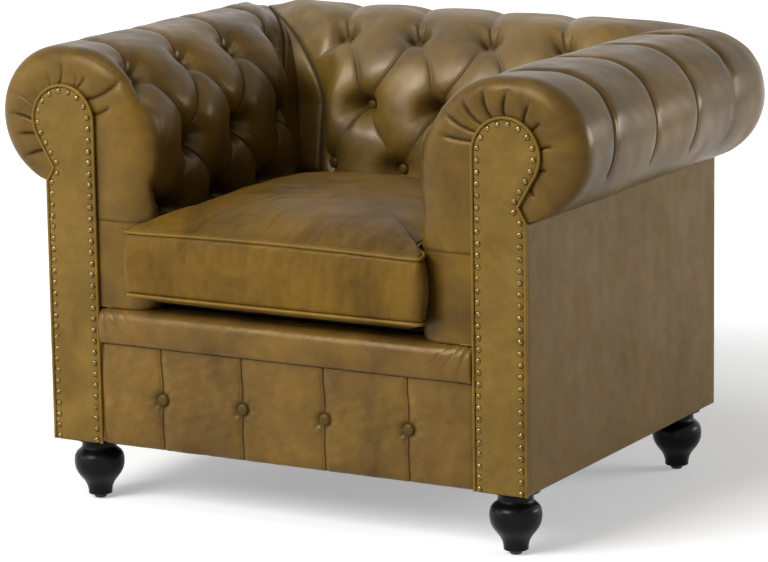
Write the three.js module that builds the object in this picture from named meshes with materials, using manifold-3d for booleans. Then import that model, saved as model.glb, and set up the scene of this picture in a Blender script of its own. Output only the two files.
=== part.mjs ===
// Chesterfield club armchair: arms and back of one height that roll outward, deep diamond
// tufting, nailed keyhole facings on the arm fronts, a loose box cushion and turned bun feet.
// Lengths are millimetres. X runs across the chair, +Y runs from front to back and +Z is up.
// Left and right are as seen by someone who stands in front of the chair.

import * as THREE from 'three';
import { mergeVertices } from 'three/addons/utils/BufferGeometryUtils.js';
import Module from 'manifold-3d';

const wasm = await Module();
wasm.setup();

// Body
const bodyWidth = 840;
const bodyDepth = 673;
const undersideHeight = 104;
const deckHeight = 324;
const seatWellWidth = 460;
const clearance = 0.3;
const cutOverrun = 20;

// Rolls of the arms and the back
const rollRadius = 110.5;
const rollCentreHeight = 618.5;
const rollCentreInset = 15;
const rollUnderside = 104;
const innerShoulderRadius = 150;
const rollCornerRadius = 151;
const skirtFadeLength = 60;

// Facings on the arm fronts
const facingThickness = 6;
const archRadius = 55.2;
const archCentreHeight = 615.3;
const archCentreInset = 32;
const notchDrop = 75.6;
const notchInset = 12.6;
const facingShoulderDrop = 21.7;
const facingRimBevel = 1.6;
const facingWeltRadius = 3.5;
const facingWeltSetback = 2;

// Padding behind and beside the facings
const padCoreInset = 6;
const noseDepth = 42;
const noseBulge = 5;
const gatherDepth = 5;
const padTongueWidth = 4;
const padFootWidth = 110;

// Tufting: heights are measured along the skin from the deck
const seamHeight = 138;
const lowRowHeight = 148;
const middleRowHeight = 251;
const topRowHeight = 396;
const backRowLift = 10;
const lowRowDepth = 42;
const middleRowDepth = 58;
const topRowDepth = 38;
const bandInset = 4;
const creaseWidth = 19;
const pleatLength = 250;
const armFirstButtonSetback = 73.5;
const armLastButtonReach = 16.5;
const backButtonPitch = 134;
const pillowsInLongRow = 3;
const tuftButtonRadius = 11.5;
const tuftButtonThickness = 9;
const cornerBlendLength = 45;
const backLeanForward = 10;
const backLeanZeroHeight = 655;

// Apron and lip under the cushion
const lipBottomHeight = 267;
const lipFrontBulge = 6;
const lipRadius = 22;
const lipDepth = 60;
const lipThickness = 27;
const apronThickness = 14;
const apronCrownSetback = 2;
const apronPleatDepth = 9;
const apronButtonPitch = 146;
const apronButtonHeight = 185;
const apronButtonRadius = 10;
const apronButtonThickness = 8;
const apronPleatCount = 4;
const apronRimShare = 0.5;

// Outside covers
const panelThickness = 3;
const dustCoverThickness = 1;

// Seat cushion
const cushionFrontReach = 31;
const cushionFrontWidth = 522;
const cushionSideClearance = 3;
const cushionRearClearance = 3;
const cushionCornerRadius = 26;
const cushionNeckLength = 40;
const cushionFrontSweep = 2;
const cushionUndersideDepth = 32;
const cushionBoxingHeight = 98;
const cushionCrown = 27;
const cushionSideRise = 18;
const cushionFrontRise = 4;
const cushionWeltInset = 2;
const cushionSeatClearance = 0.5;
const cushionWeltRadius = 3.5;
const weltButtGap = 0.5;

// Timber
const boardThickness = 18;
const railThickness = 25;
const railHeight = 186;
const postWidth = 50;
const blockLeg = 100;
const blockHeight = 45;
const slatThickness = 20;
const slatBottomHeight = 330;
const slatTopHeight = 400;
const rollRailBottomHeight = 600;

// Springs under the deck
const springCount = 5;
const springPitch = 110;
const springWireRadius = 2;
const springHalfWidth = 25;
const springLoopPitch = 58;
const springCrown = 9;
const springEndMargin = 12;
const deckThickness = 19.4;

// Feet
const footPlateRadius = 38;
const footPlateThickness = 7;
const footNeckRadius = 27;
const footNeckHeight = 90;
const footBulbRadius = 40;
const footBulbHeight = 61;
const footAnkleRadius = 19;
const footBottomHeight = 7;
const glideRadius = 9.5;
const glideEdgeRadius = 1.5;
const glidePinRadius = 1.6;
const glidePinLength = 14;
const boltRadius = 4;
const boltHoleRadius = 4.5;
const boltInFoot = 34;
const boltInBlock = 36;
const boltTipLength = 9;
const boltOutInset = 17.4;
const boltFrontInset = 15;
const boltRearInset = 19.4;

// Faces along curves
const archSteps = 12;
const tubeSides = 6;
const turnedSteps = 20;
const boltSteps = 12;
const facingWeltSteps = 58;
const cushionCornerSteps = 3;
const cushionSideSteps = 4;
const footSteps = 3;

const bodyHalf = bodyWidth / 2;
const wellHalf = seatWellWidth / 2;
const mitreShift = bodyDepth - bodyHalf;
const rollTopHeight = rollCentreHeight + rollRadius;
const skirtTurn = -Math.acos(rollCentreInset / rollRadius);
const rollSkirtHeight = rollCentreHeight + rollUnderside * Math.sin(skirtTurn);
const notchHeight = archCentreHeight - notchDrop;
const facingShoulderHeight = notchHeight - facingShoulderDrop;
const facingInner = bodyHalf - archCentreInset - archRadius;
const facingBack = facingThickness;
const boardFront = facingBack + clearance;
const boardBack = boardFront + boardThickness;
const boardInset = padCoreInset + clearance;
const coreInner = facingInner + padCoreInset;
const frameBottom = undersideHeight + dustCoverThickness + clearance;
const railTop = undersideHeight + railHeight;
const railOuter = bodyHalf - panelThickness - clearance;
const railInner = railOuter - railThickness;
const coreBackFront = coreInner + mitreShift;

// The last buttons of an arm stand a set way past the front of the back's skin.
const armButtonsLength = wellHalf + mitreShift + armLastButtonReach - armFirstButtonSetback;
const armButtonPitch = armButtonsLength / pillowsInLongRow;

const leather = { color: 0x876a35, roughness: 0.42, metalness: 0 };
const matteLeather = { color: 0x87682f, roughness: 0.6, metalness: 0 };
const paleWood = { color: 0xc9a878, roughness: 0.75, metalness: 0 };
const plywood = { color: 0xb99566, roughness: 0.8, metalness: 0 };
const blackWood = { color: 0x16130f, roughness: 0.3, metalness: 0 };
const steel = { color: 0x9a9a9a, roughness: 0.35, metalness: 1 };
const cambric = { color: 0x1c1c1c, roughness: 0.95, metalness: 0 };
const foam = { color: 0xd8cfb4, roughness: 0.95, metalness: 0 };
const nylon = { color: 0x2a2a2a, roughness: 0.5, metalness: 0 };

const chair = new THREE.Group();

function addNode(name, geometry, finish) {
  const mesh = new THREE.Mesh(geometry, new THREE.MeshStandardMaterial(finish));
  mesh.name = name;
  chair.add(mesh);
  return mesh;
}

// Geometry helpers

function bodyFromGeometry(geometry) {
  const bare = geometry.clone();
  bare.deleteAttribute('normal');
  bare.deleteAttribute('uv');
  const merged = mergeVertices(bare, 1e-3);
  return new wasm.Manifold(new wasm.Mesh({
    numProp: 3,
    vertProperties: Float32Array.from(merged.attributes.position.array),
    triVerts: Uint32Array.from(merged.index.array),
  }));
}

function geometryFromBody(body) {
  const mesh = body.getMesh();
  const geometry = new THREE.BufferGeometry();
  geometry.setAttribute('position', new THREE.BufferAttribute(mesh.vertProperties, 3));
  geometry.setIndex(new THREE.BufferAttribute(mesh.triVerts, 1));
  geometry.computeVertexNormals();
  return geometry;
}

function signedVolume(points, faces) {
  let volume = 0;
  const cross = new THREE.Vector3();
  for (const [a, b, c] of faces) {
    cross.crossVectors(points[b], points[c]);
    volume += points[a].dot(cross);
  }
  return volume;
}

function geometryFromFaces(points, faces) {
  const outward = signedVolume(points, faces) > 0;
  const geometry = new THREE.BufferGeometry().setFromPoints(points);
  geometry.setIndex(faces.flatMap(([a, b, c]) => (outward ? [a, b, c] : [a, c, b])));
  geometry.computeVertexNormals();
  return geometry;
}

// Whether the faces that run from loop to loop in point order look outward (1) or inward (-1).
function loopHandedness(loops) {
  const middle = loops[Math.floor(loops.length / 2)];
  const centre = new THREE.Vector3();
  middle.forEach((point) => centre.addScaledVector(point, 1 / middle.length));
  const ahead = loops[loops.length - 1][0].clone().sub(loops[0][0]);
  const turn = new THREE.Vector3();
  middle.forEach((point, i) => {
    const next = middle[(i + 1) % middle.length];
    turn.add(point.clone().sub(centre).cross(next.clone().sub(centre)));
  });
  return Math.sign(turn.dot(ahead));
}

// Turns the corners of a four-sided face so that the fold from first to third lies deepest.
function dividedAlongValley(points, quad, handedness) {
  const [a, b, c, d] = quad.map((index) => points[index]);
  const outward = c.clone().sub(a).cross(d.clone().sub(b)).multiplyScalar(handedness);
  const rise = a.clone().add(c).sub(b).sub(d).dot(outward);
  return rise <= 0 ? quad : [quad[1], quad[2], quad[3], quad[0]];
}

// Closed loops of points, one behind the other, joined into a solid with a cap at each end.
// capOutline gives the loop in the plane in which the caps are divided into triangles.
function solidFromLoops(loops, capOutline) {
  const points = loops.flat();
  const size = loops[0].length;
  const handedness = loopHandedness(loops);
  const faces = [];
  for (let row = 0; row + 1 < loops.length; row += 1) {
    for (let i = 0; i < size; i += 1) {
      const next = (i + 1) % size;
      const near = row * size;
      const far = near + size;
      const quad = [near + i, near + next, far + next, far + i];
      const [a, b, c, d] = dividedAlongValley(points, quad, handedness);
      faces.push([a, b, c], [a, c, d]);
    }
  }
  const last = (loops.length - 1) * size;
  const turn = Math.sign(THREE.ShapeUtils.area(capOutline));
  for (const face of THREE.ShapeUtils.triangulateShape(capOutline, [])) {
    const corners = face.map((index) => capOutline[index]);
    const agrees = Math.sign(THREE.ShapeUtils.area(corners)) === turn;
    const [a, b, c] = agrees ? face : [face[0], face[2], face[1]];
    faces.push([a, c, b]);
    faces.push([last + a, last + b, last + c]);
  }
  return geometryFromFaces(points, faces);
}

function mirrored(geometry) {
  const copy = geometry.index ? geometry.toNonIndexed() : geometry.clone();
  copy.scale(-1, 1, 1);
  const order = [];
  for (let i = 0; i < copy.attributes.position.count; i += 3) {
    order.push(i, i + 2, i + 1);
  }
  copy.setIndex(order);
  copy.computeVertexNormals();
  return copy;
}

function addPair(name, geometry, finish) {
  addNode(`left_${name}`, mirrored(geometry), finish);
  addNode(`right_${name}`, geometry, finish);
}

// A flat shape in X and Z, as thick as given, whose front stands at frontY.
function uprightPlate(points, frontY, thickness, bevel = 0) {
  const geometry = new THREE.ExtrudeGeometry(new THREE.Shape(points), {
    depth: thickness - 2 * bevel,
    bevelEnabled: bevel > 0,
    bevelThickness: bevel,
    bevelSize: bevel,
    bevelOffset: -bevel,
    bevelSegments: 1,
    curveSegments: archSteps,
  });
  geometry.rotateX(Math.PI / 2);
  geometry.translate(0, frontY + thickness - bevel, 0);
  return geometry;
}

// A flat shape in X and Y, as thick as given, whose underside stands at bottomZ.
function flatPlate(points, bottomZ, thickness, holes = []) {
  const shape = new THREE.Shape(points);
  shape.holes = holes.map((hole) => new THREE.Path(hole));
  const geometry = new THREE.ExtrudeGeometry(shape, { depth: thickness, bevelEnabled: false });
  geometry.translate(0, 0, bottomZ);
  return geometry;
}

function boxBetween(low, high) {
  const [x0, y0, z0] = low;
  const [x1, y1, z1] = high;
  const geometry = new THREE.BoxGeometry(x1 - x0, y1 - y0, z1 - z0);
  geometry.translate((x0 + x1) / 2, (y0 + y1) / 2, (z0 + z1) / 2);
  return geometry;
}

function circlePoints(x, y, radius, steps) {
  const points = [];
  for (let i = 0; i < steps; i += 1) {
    const angle = (2 * Math.PI * i) / steps;
    points.push(new THREE.Vector2(x + radius * Math.cos(angle), y + radius * Math.sin(angle)));
  }
  return points;
}

// A turned solid that stands upright at x, y. Its profile holds [radius, height] pairs.
function turned(profile, x, y, steps = turnedSteps) {
  const points = profile.map(([radius, height]) => new THREE.Vector2(radius, height));
  const geometry = new THREE.LatheGeometry(points, steps);
  geometry.rotateX(Math.PI / 2);
  geometry.translate(x, y, 0);
  return geometry;
}

function routeThrough(points) {
  const route = new THREE.CurvePath();
  for (let i = 1; i < points.length; i += 1) {
    route.add(new THREE.LineCurve3(points[i - 1], points[i]));
  }
  return route;
}

function tubeAlong(curve, radius, steps, sides = tubeSides) {
  const section = new THREE.Shape(circlePoints(0, 0, radius, sides));
  return new THREE.ExtrudeGeometry(section, { steps, bevelEnabled: false, extrudePath: curve });
}

// Moves each point of an open outline sideways by the distance, to the left of its direction.
function offsetOutline(points, distance) {
  return points.map((point, i) => {
    const before = points[Math.max(i - 1, 0)];
    const after = points[Math.min(i + 1, points.length - 1)];
    const first = i > 0 ? point.clone().sub(before).normalize() : after.clone().sub(point).normalize();
    const second = i + 1 < points.length ? after.clone().sub(point).normalize() : first;
    const side = new THREE.Vector2(-first.y - second.y, first.x + second.x);
    const spread = 1 + first.dot(second);
    return point.clone().addScaledVector(side, distance / spread);
  });
}

function smoothStep(low, high, value) {
  return THREE.MathUtils.smoothstep(value, low, high);
}

// Facing outline in X and Z on the right arm, from its inner foot over the arch to its outer foot.

function archTangentAngle() {
  const out = archCentreInset - notchInset;
  const down = archCentreHeight - notchHeight;
  return -Math.atan2(down, out) + Math.acos(archRadius / Math.hypot(out, down));
}

function facingArchPath() {
  const path = new THREE.Path();
  path.moveTo(facingInner, archCentreHeight);
  path.absarc(bodyHalf - archCentreInset, archCentreHeight, archRadius, Math.PI, archTangentAngle(), true);
  path.lineTo(bodyHalf - notchInset, notchHeight);
  path.lineTo(bodyHalf, facingShoulderHeight);
  return path;
}

function facingOutline(inset, bottom) {
  const arch = facingArchPath().getPoints(archSteps);
  const outline = [
    new THREE.Vector2(facingInner, undersideHeight),
    ...arch,
    new THREE.Vector2(bodyHalf, undersideHeight),
  ];
  const moved = offsetOutline(outline, -inset);
  moved[0].y = bottom;
  moved[moved.length - 1].y = bottom;
  return moved;
}

// Skin profile of the arms and the back: how far out and how high, from the deck up over the roll.

const skinLower = new THREE.LineCurve(
  new THREE.Vector2(wellHalf, deckHeight + clearance),
  new THREE.Vector2(wellHalf, rollTopHeight - innerShoulderRadius),
);

function skinUpperPath() {
  const rollOut = bodyHalf - rollCentreInset;
  const shoulderOut = wellHalf + innerShoulderRadius;
  const path = new THREE.Path();
  path.moveTo(wellHalf, rollTopHeight - innerShoulderRadius);
  path.absarc(shoulderOut, rollTopHeight - innerShoulderRadius, innerShoulderRadius, Math.PI, Math.PI / 2, true);
  path.lineTo(rollOut, rollTopHeight);
  path.absarc(rollOut, rollCentreHeight, rollRadius, Math.PI / 2, 0, true);
  path.absellipse(rollOut, rollCentreHeight, rollRadius, rollUnderside, 0, skirtTurn, true);
  return path;
}

const skinUpper = skinUpperPath();
const faceLower = new THREE.LineCurve(
  new THREE.Vector2(facingInner, deckHeight + clearance),
  new THREE.Vector2(facingInner, archCentreHeight),
);
const faceUpper = facingArchPath();
const lowerLength = skinLower.getLength();
const upperLength = skinUpper.getLength();

// Stations up the skin at the seam, at the rows of buttons and between them.
const lowerStops = [0, seamHeight / 2, seamHeight - padTongueWidth, seamHeight];
const diamondSteps = 3;
const rollSteps = 12;

function between(low, high, steps) {
  const values = [];
  for (let i = 1; i <= steps; i += 1) {
    values.push(low + ((high - low) * i) / steps);
  }
  return values;
}

function skinStations(rows) {
  const heights = [
    ...lowerStops,
    rows.low,
    ...between(rows.low, rows.middle, diamondSteps),
    ...between(rows.middle, rows.top, diamondSteps),
    ...between(rows.top, lowerLength + upperLength, rollSteps),
  ];
  return heights.map((height, index) => {
    const upper = height > lowerLength;
    const share = upper ? (height - lowerLength) / upperLength : height / lowerLength;
    const skin = (upper ? skinUpper : skinLower).getPoint(Math.min(share, 1));
    const tangent = (upper ? skinUpper : skinLower).getTangent(Math.min(share, 1));
    const face = (upper ? faceUpper : faceLower).getPoint(Math.min(share, 1));
    const normal = new THREE.Vector2(-tangent.y, tangent.x);
    return { height, skin, normal, face, gathered: upper && index % 2 === 0 };
  });
}

function buttonRows(lift) {
  return { low: lowRowHeight + lift, middle: middleRowHeight + lift, top: topRowHeight + lift };
}

const armRows = buttonRows(0);
const backRows = buttonRows(backRowLift);
const armStations = skinStations(armRows);
const backStations = skinStations(backRows);

// Tufting. A fill of 1 is the crown of a pillow, and 0 is the skin under a button.

function tuftDepth(height) {
  if (height < middleRowHeight) {
    const share = Math.max(0, (height - lowRowHeight) / (middleRowHeight - lowRowHeight));
    return THREE.MathUtils.lerp(lowRowDepth, middleRowDepth, share);
  }
  const share = Math.min(1, (height - middleRowHeight) / (topRowHeight - middleRowHeight));
  return THREE.MathUtils.lerp(middleRowDepth, topRowDepth, share);
}

const creaseSagShare = 0.38;
const creaseSharpnessShare = 1.2;
const pleatStartShare = 0.62;
const pleatEndShare = 0.06;
const sideCreaseReachShare = 0.3;
const sideCreaseRiseShare = 0.6;

// Buttons and creases of one pad. A long row has a button at each side of each of its pillows, and
// the middle row has one under the middle of each pillow.
function tuftPattern(firstButton, pitch, rows) {
  const buttons = [];
  const creases = [];
  const lastButton = firstButton + pillowsInLongRow * pitch;
  const addCrease = (fromAlong, fromHeight, toAlong, toHeight, start, end, sag) => {
    creases.push({ fromAlong, fromHeight, toAlong, toHeight, start, end, sag });
  };
  for (let i = 0; i <= pillowsInLongRow; i += 1) {
    const along = firstButton + i * pitch;
    buttons.push([along, rows.low], [along, rows.top]);
    addCrease(along, rows.low, along, seamHeight, 1, pleatStartShare, 0);
    addCrease(along, rows.top, along, rows.top, 1, 1, 0);
    addCrease(along, rows.top, along, rows.top + pleatLength, pleatStartShare, pleatEndShare, 0);
  }
  for (let i = 0; i < pillowsInLongRow; i += 1) {
    const before = firstButton + i * pitch;
    const along = before + pitch / 2;
    buttons.push([along, rows.middle]);
    for (const far of [before, before + pitch]) {
      addCrease(along, rows.middle, far, rows.low, 1, 1, creaseSagShare);
      addCrease(along, rows.middle, far, rows.top, 1, 1, creaseSagShare);
    }
  }
  const reach = sideCreaseReachShare * pitch;
  const rise = sideCreaseRiseShare * (rows.middle - rows.low);
  for (const [along, far] of [[firstButton, firstButton - reach], [lastButton, lastButton + reach]]) {
    addCrease(along, rows.low, far, rows.low + rise, 1, 0, 0);
    addCrease(along, rows.top, far, rows.top - rise, 1, 0, 0);
  }
  return { buttons, creases };
}

function tuftFill(along, height, creases) {
  if (height < seamHeight) {
    return 1 - bandInset / lowRowDepth;
  }
  let fill = 1;
  for (const crease of creases) {
    const runAlong = crease.toAlong - crease.fromAlong;
    const runHeight = crease.toHeight - crease.fromHeight;
    const square = runAlong * runAlong + runHeight * runHeight;
    const reach = (along - crease.fromAlong) * runAlong + (height - crease.fromHeight) * runHeight;
    const share = square > 0 ? THREE.MathUtils.clamp(reach / square, 0, 1) : 0;
    const offAlong = along - crease.fromAlong - share * runAlong;
    const offHeight = height - crease.fromHeight - share * runHeight;
    const distance = Math.hypot(offAlong, offHeight);
    const sag = crease.sag * Math.sin(Math.PI * share);
    const depth = THREE.MathUtils.lerp(crease.start, crease.end, share) - sag;
    fill *= 1 - depth * Math.exp(-Math.pow(distance / creaseWidth, creaseSharpnessShare));
  }
  return fill;
}

// Where the rolls turn the rear corners, the skin runs round an upright axis to the mitre. The
// axis moves out to the body's corner at the skirt, so that the skirt line stays on the panels.

const rollOuter = bodyHalf - rollCentreInset + rollRadius;
const skinLength = lowerLength + upperLength;

function pivotOutAt(height) {
  const skirt = smoothStep(skinLength - skirtFadeLength, skinLength, height);
  return THREE.MathUtils.lerp(rollOuter - rollCornerRadius, bodyHalf, skirt);
}

// Distance along an arm (shift is mitreShift) or along half the back (shift is 0) to the mitre.
function mitreAlong(out, height, shift) {
  const pivot = pivotOutAt(height);
  const reach = out - pivot;
  return pivot + shift + (reach > 0 ? (reach * Math.PI) / 4 : reach) - clearance;
}

function roundCorner(out, along, height, shift) {
  const pivot = pivotOutAt(height);
  const reach = out - pivot;
  const past = along - pivot - shift;
  if (reach <= 0 || past <= 0) {
    return [out, along];
  }
  return [pivot + reach * Math.cos(past / reach), pivot + shift + reach * Math.sin(past / reach)];
}

// Fill in the corner where the skins of an arm and of the back meet.
const cornerFillLowShare = 0.14;

function cornerFill(height) {
  if (height < seamHeight) {
    return 1 - bandInset / lowRowDepth;
  }
  const rise = smoothStep(middleRowHeight, topRowHeight + pleatLength, height);
  return THREE.MathUtils.lerp(cornerFillLowShare, 1, rise * rise);
}

function skinFill(station, along, cornerAlong, creases) {
  const widening = smoothStep(middleRowHeight, topRowHeight, station.height);
  const near = smoothStep(0, cornerBlendLength * (1 + widening), cornerAlong - Math.abs(along));
  return THREE.MathUtils.lerp(cornerFill(station.height), tuftFill(along, station.height, creases), near);
}

function sunkPoint(station, fill) {
  return station.skin.clone().addScaledVector(station.normal, -tuftDepth(station.height) * (1 - fill));
}

// The padding's closed section ends in a short tongue on the outside panel and a foot on the deck.
const padHeel = [
  new THREE.Vector2(bodyHalf - padTongueWidth, rollSkirtHeight),
  new THREE.Vector2(wellHalf + padFootWidth, deckHeight + clearance),
];

const endShares = [0.3, 0.6, 0.76, 0.88, 1];

function armPlace(out, along, height) {
  return new THREE.Vector3(out, along, height);
}

function backPlace(out, along, height) {
  return new THREE.Vector3(along, out + mitreShift, height);
}

// The hollow of the padding that the timber stands in, from before its front to past the mitre.
function padCore(place, from, to) {
  const outline = facingOutline(padCoreInset, undersideHeight);
  const loops = [from, to].map((along) => outline.map((point) => place(point.x, along(point.x), point.y)));
  return bodyFromGeometry(solidFromLoops(loops, outline));
}

function tuftButton(place, station, along, lean) {
  const seat = sunkPoint(station, 0);
  const dome = new THREE.SphereGeometry(tuftButtonRadius, 8, 4);
  dome.rotateX(Math.PI / 2);
  dome.scale(1, 1, tuftButtonThickness / tuftButtonRadius);
  const outward = place(station.normal.x, 0, station.normal.y).sub(place(0, 0, 0)).normalize();
  dome.applyQuaternion(new THREE.Quaternion().setFromUnitVectors(new THREE.Vector3(0, 0, 1), outward));
  const centre = place(seat.x - lean, along, seat.y);
  dome.translate(centre.x, centre.y, centre.z);
  return bodyFromGeometry(dome);
}

function paddingSolid(loops, stations, core, pattern, place, leanOf) {
  const outline = [...stations.map((station) => station.skin), ...padHeel];
  let solid = bodyFromGeometry(solidFromLoops(loops, outline)).subtract(core);
  for (const [along, height] of pattern.buttons) {
    const station = stations.find((candidate) => Math.abs(candidate.height - height) < clearance);
    solid = solid.add(tuftButton(place, station, along, leanOf(station, along)));
  }
  return geometryFromBody(solid);
}

// Arm padding, made for the right arm. Its front swells from the facing's outline to the roll.

const nosePhaseShares = [0, 0.16, 0.4, 0.7, 1];
const noseCurveShare = 0.7;

function noseLoop(phase, creases) {
  const turn = (phase * Math.PI) / 2;
  const widest = facingInner - wellHalf;
  const front = facingBack + clearance;
  const loop = armStations.map((station) => {
    const share = Math.min(1, station.skin.distanceTo(station.face) / widest);
    const swell = noseBulge * share * Math.sin(2 * turn);
    const along = front + noseDepth * share * (1 - Math.pow(Math.cos(turn), noseCurveShare)) - swell;
    const fill = 1 - (1 - skinFill(station, along, bodyDepth, creases)) * phase * phase;
    const point = station.face.clone().lerp(sunkPoint(station, fill), Math.pow(Math.sin(turn), noseCurveShare));
    const dip = station.gathered ? gatherDepth * share * Math.sin(2 * turn) : 0;
    point.addScaledVector(station.normal, -dip);
    return armPlace(point.x, along, point.y);
  });
  const heel = padHeel.map((point) => armPlace(point.x, front + padTongueWidth * phase, point.y));
  return [...loop, ...heel];
}

function armPadding() {
  const pattern = tuftPattern(armFirstButtonSetback, armButtonPitch, armRows);
  const loops = nosePhaseShares.map((phase) => noseLoop(phase, pattern.creases));
  const step = armButtonPitch / (2 * diamondSteps);
  const straightSteps = 2 * diamondSteps * pillowsInLongRow;
  const lastStraight = armFirstButtonSetback + armButtonsLength - step;
  const addLoop = (endShare, straightAlong) => {
    const alongTo = (end) => THREE.MathUtils.lerp(straightAlong, end, endShare);
    const loop = armStations.map((station) => {
      const corner = sunkPoint(station, cornerFill(station.height));
      const along = alongTo(mitreAlong(corner.x, station.height, mitreShift));
      const cornerAlong = mitreAlong(station.skin.x, station.height, mitreShift);
      const point = sunkPoint(station, skinFill(station, along, cornerAlong, pattern.creases));
      const [out, depth] = roundCorner(point.x, along, station.height, mitreShift);
      return armPlace(out, depth, point.y);
    });
    const heel = padHeel.map((point) => (
      armPlace(point.x, alongTo(point.x + mitreShift - clearance), point.y)));
    loops.push([...loop, ...heel]);
  };
  for (let i = 0; i < straightSteps; i += 1) {
    addLoop(0, armFirstButtonSetback + i * step);
  }
  for (const share of endShares) {
    addLoop(share, lastStraight);
  }
  const core = padCore(armPlace, () => -cutOverrun, (out) => out + mitreShift + cutOverrun);
  return paddingSolid(loops, armStations, core, pattern, armPlace, () => 0);
}

// Back padding: its inner face leans back a little, which fades out towards the corners.

function backLean(station, along) {
  const lowRow = deckHeight + lowRowHeight;
  const slope = backLeanForward / (backLeanZeroHeight - lowRow);
  const lean = Math.min(backLeanForward, (backLeanZeroHeight - station.skin.y) * slope);
  const crown = 1 - smoothStep(topRowHeight, topRowHeight + innerShoulderRadius, station.height);
  const middle = smoothStep(0, backButtonPitch / 2, station.skin.x - Math.abs(along));
  return lean * crown * middle;
}

function backPadding() {
  const firstButton = (-pillowsInLongRow * backButtonPitch) / 2;
  const pattern = tuftPattern(firstButton, backButtonPitch, backRows);
  const step = backButtonPitch / (2 * diamondSteps);
  const straightSteps = diamondSteps * pillowsInLongRow;
  const loops = [];
  const addLoop = (side, endShare, straightAlong) => {
    const alongTo = (end) => side * THREE.MathUtils.lerp(straightAlong, end, endShare);
    const loop = backStations.map((station) => {
      const corner = sunkPoint(station, cornerFill(station.height));
      const along = alongTo(mitreAlong(corner.x, station.height, 0));
      const cornerAlong = mitreAlong(station.skin.x, station.height, 0);
      const point = sunkPoint(station, skinFill(station, along, cornerAlong, pattern.creases));
      const [out, reach] = roundCorner(point.x, Math.abs(along), station.height, 0);
      return backPlace(out - backLean(station, along), Math.sign(along) * reach, point.y);
    });
    const heel = padHeel.map((point) => backPlace(point.x, alongTo(point.x - clearance), point.y));
    loops.push([...loop, ...heel]);
  };
  for (const share of [...endShares].reverse()) {
    addLoop(-1, share, straightSteps * step);
  }
  for (let i = -straightSteps; i <= straightSteps; i += 1) {
    addLoop(Math.sign(i) || 1, 0, Math.abs(i) * step);
  }
  for (const share of endShares) {
    addLoop(1, share, straightSteps * step);
  }
  const core = padCore(backPlace, (out) => -out - cutOverrun, (out) => out + cutOverrun);
  return paddingSolid(loops, backStations, core, pattern, backPlace, backLean);
}

addPair('arm_pad', armPadding(), leather);
addNode('back_pad', backPadding(), leather);

// Facings: an upholstered plate on the arm front with a welt sewn round it, open at the foot.

const facingRoute = routeThrough(
  facingOutline(0, undersideHeight).map((point) => new THREE.Vector3(point.x, facingWeltSetback, point.y)),
);
const facingRim = facingRoute.getSpacedPoints(facingWeltSteps).map((point) => (
  new THREE.Vector2(point.x, point.z)));
const facingPlate = offsetOutline(facingRim, -facingWeltRadius - clearance);
addPair('arm_facing', uprightPlate(facingPlate, 0, facingThickness, facingRimBevel), matteLeather);
addPair('facing_welt', tubeAlong(facingRoute, facingWeltRadius, facingWeltSteps), leather);

// Timber of the arms: keyhole front board, roll rail, tack slat and seat side rail.

const armBoardOutline = facingOutline(boardInset, frameBottom);
addPair('arm_front_board', uprightPlate(armBoardOutline, boardFront, boardThickness), plywood);

function rollRailOutline() {
  const centre = bodyHalf - archCentreInset;
  const radius = archRadius - boardInset;
  const drop = archCentreHeight - rollRailBottomHeight;
  const startAngle = Math.PI + Math.asin(drop / radius);
  const path = new THREE.Path();
  path.absarc(centre, archCentreHeight, radius, startAngle, Math.PI - startAngle, true);
  return path.getPoints(archSteps);
}

// A length of timber with the given section, cut square or mitred at each end.
function sectionRun(outline, place, from, to) {
  const loops = [from, to].map((along) => outline.map((point) => place(point.x, along(point.x), point.y)));
  return solidFromLoops(loops, outline);
}

const rollRailSection = rollRailOutline();
const frontOfRuns = boardBack + clearance;
addPair('arm_roll_rail', sectionRun(
  rollRailSection,
  armPlace,
  () => frontOfRuns,
  (out) => out + mitreShift - clearance,
), paleWood);
addNode('back_roll_rail', sectionRun(
  rollRailSection,
  backPlace,
  (out) => clearance - out,
  (out) => out - clearance,
), paleWood);

const rearOfBlocks = bodyDepth - panelThickness - clearance - railThickness - clearance;
const postFront = rearOfBlocks - postWidth;
const slatInner = coreInner + clearance;
const slatBack = slatInner + mitreShift;

addPair('side_rail', boxBetween(
  [railInner, frontOfRuns, frameBottom],
  [railOuter, bodyDepth - panelThickness - clearance, railTop],
), paleWood);
addPair('arm_tack_slat', boxBetween(
  [slatInner, frontOfRuns, slatBottomHeight],
  [slatInner + slatThickness, slatBack - clearance, slatTopHeight],
), paleWood);

// Timber across the chair: front and back rails, back tack slat, posts and corner blocks.

const frontRailFront = apronThickness + clearance;
const frontRailBack = frontRailFront + railThickness;
const blockOuter = railInner - clearance;
const boardInner = facingInner + boardInset;
const postInner = blockOuter - postWidth;

addNode('front_rail', boxBetween(
  [clearance - boardInner, frontRailFront, frameBottom],
  [boardInner - clearance, frontRailBack, railTop],
), paleWood);
addNode('back_rail', boxBetween(
  [-blockOuter, rearOfBlocks + clearance, frameBottom],
  [blockOuter, bodyDepth - panelThickness - clearance, railTop],
), paleWood);
addNode('back_tack_slat', boxBetween(
  [clearance - postInner, slatBack, slatBottomHeight],
  [postInner - clearance, slatBack + slatThickness, slatTopHeight],
), paleWood);
addPair('rear_post', boxBetween(
  [postInner, postFront, frameBottom + blockHeight + clearance],
  [blockOuter, rearOfBlocks, rollRailBottomHeight - clearance],
), paleWood);

// Each foot's bolt stands a set way in from the two faces of the corner block that takes it.
const frontOfBlocks = frontRailBack + clearance;
const footOutset = blockOuter - boltOutInset;
const footFrontY = frontOfBlocks + boltFrontInset;
const footRearY = rearOfBlocks - boltRearInset;

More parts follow.
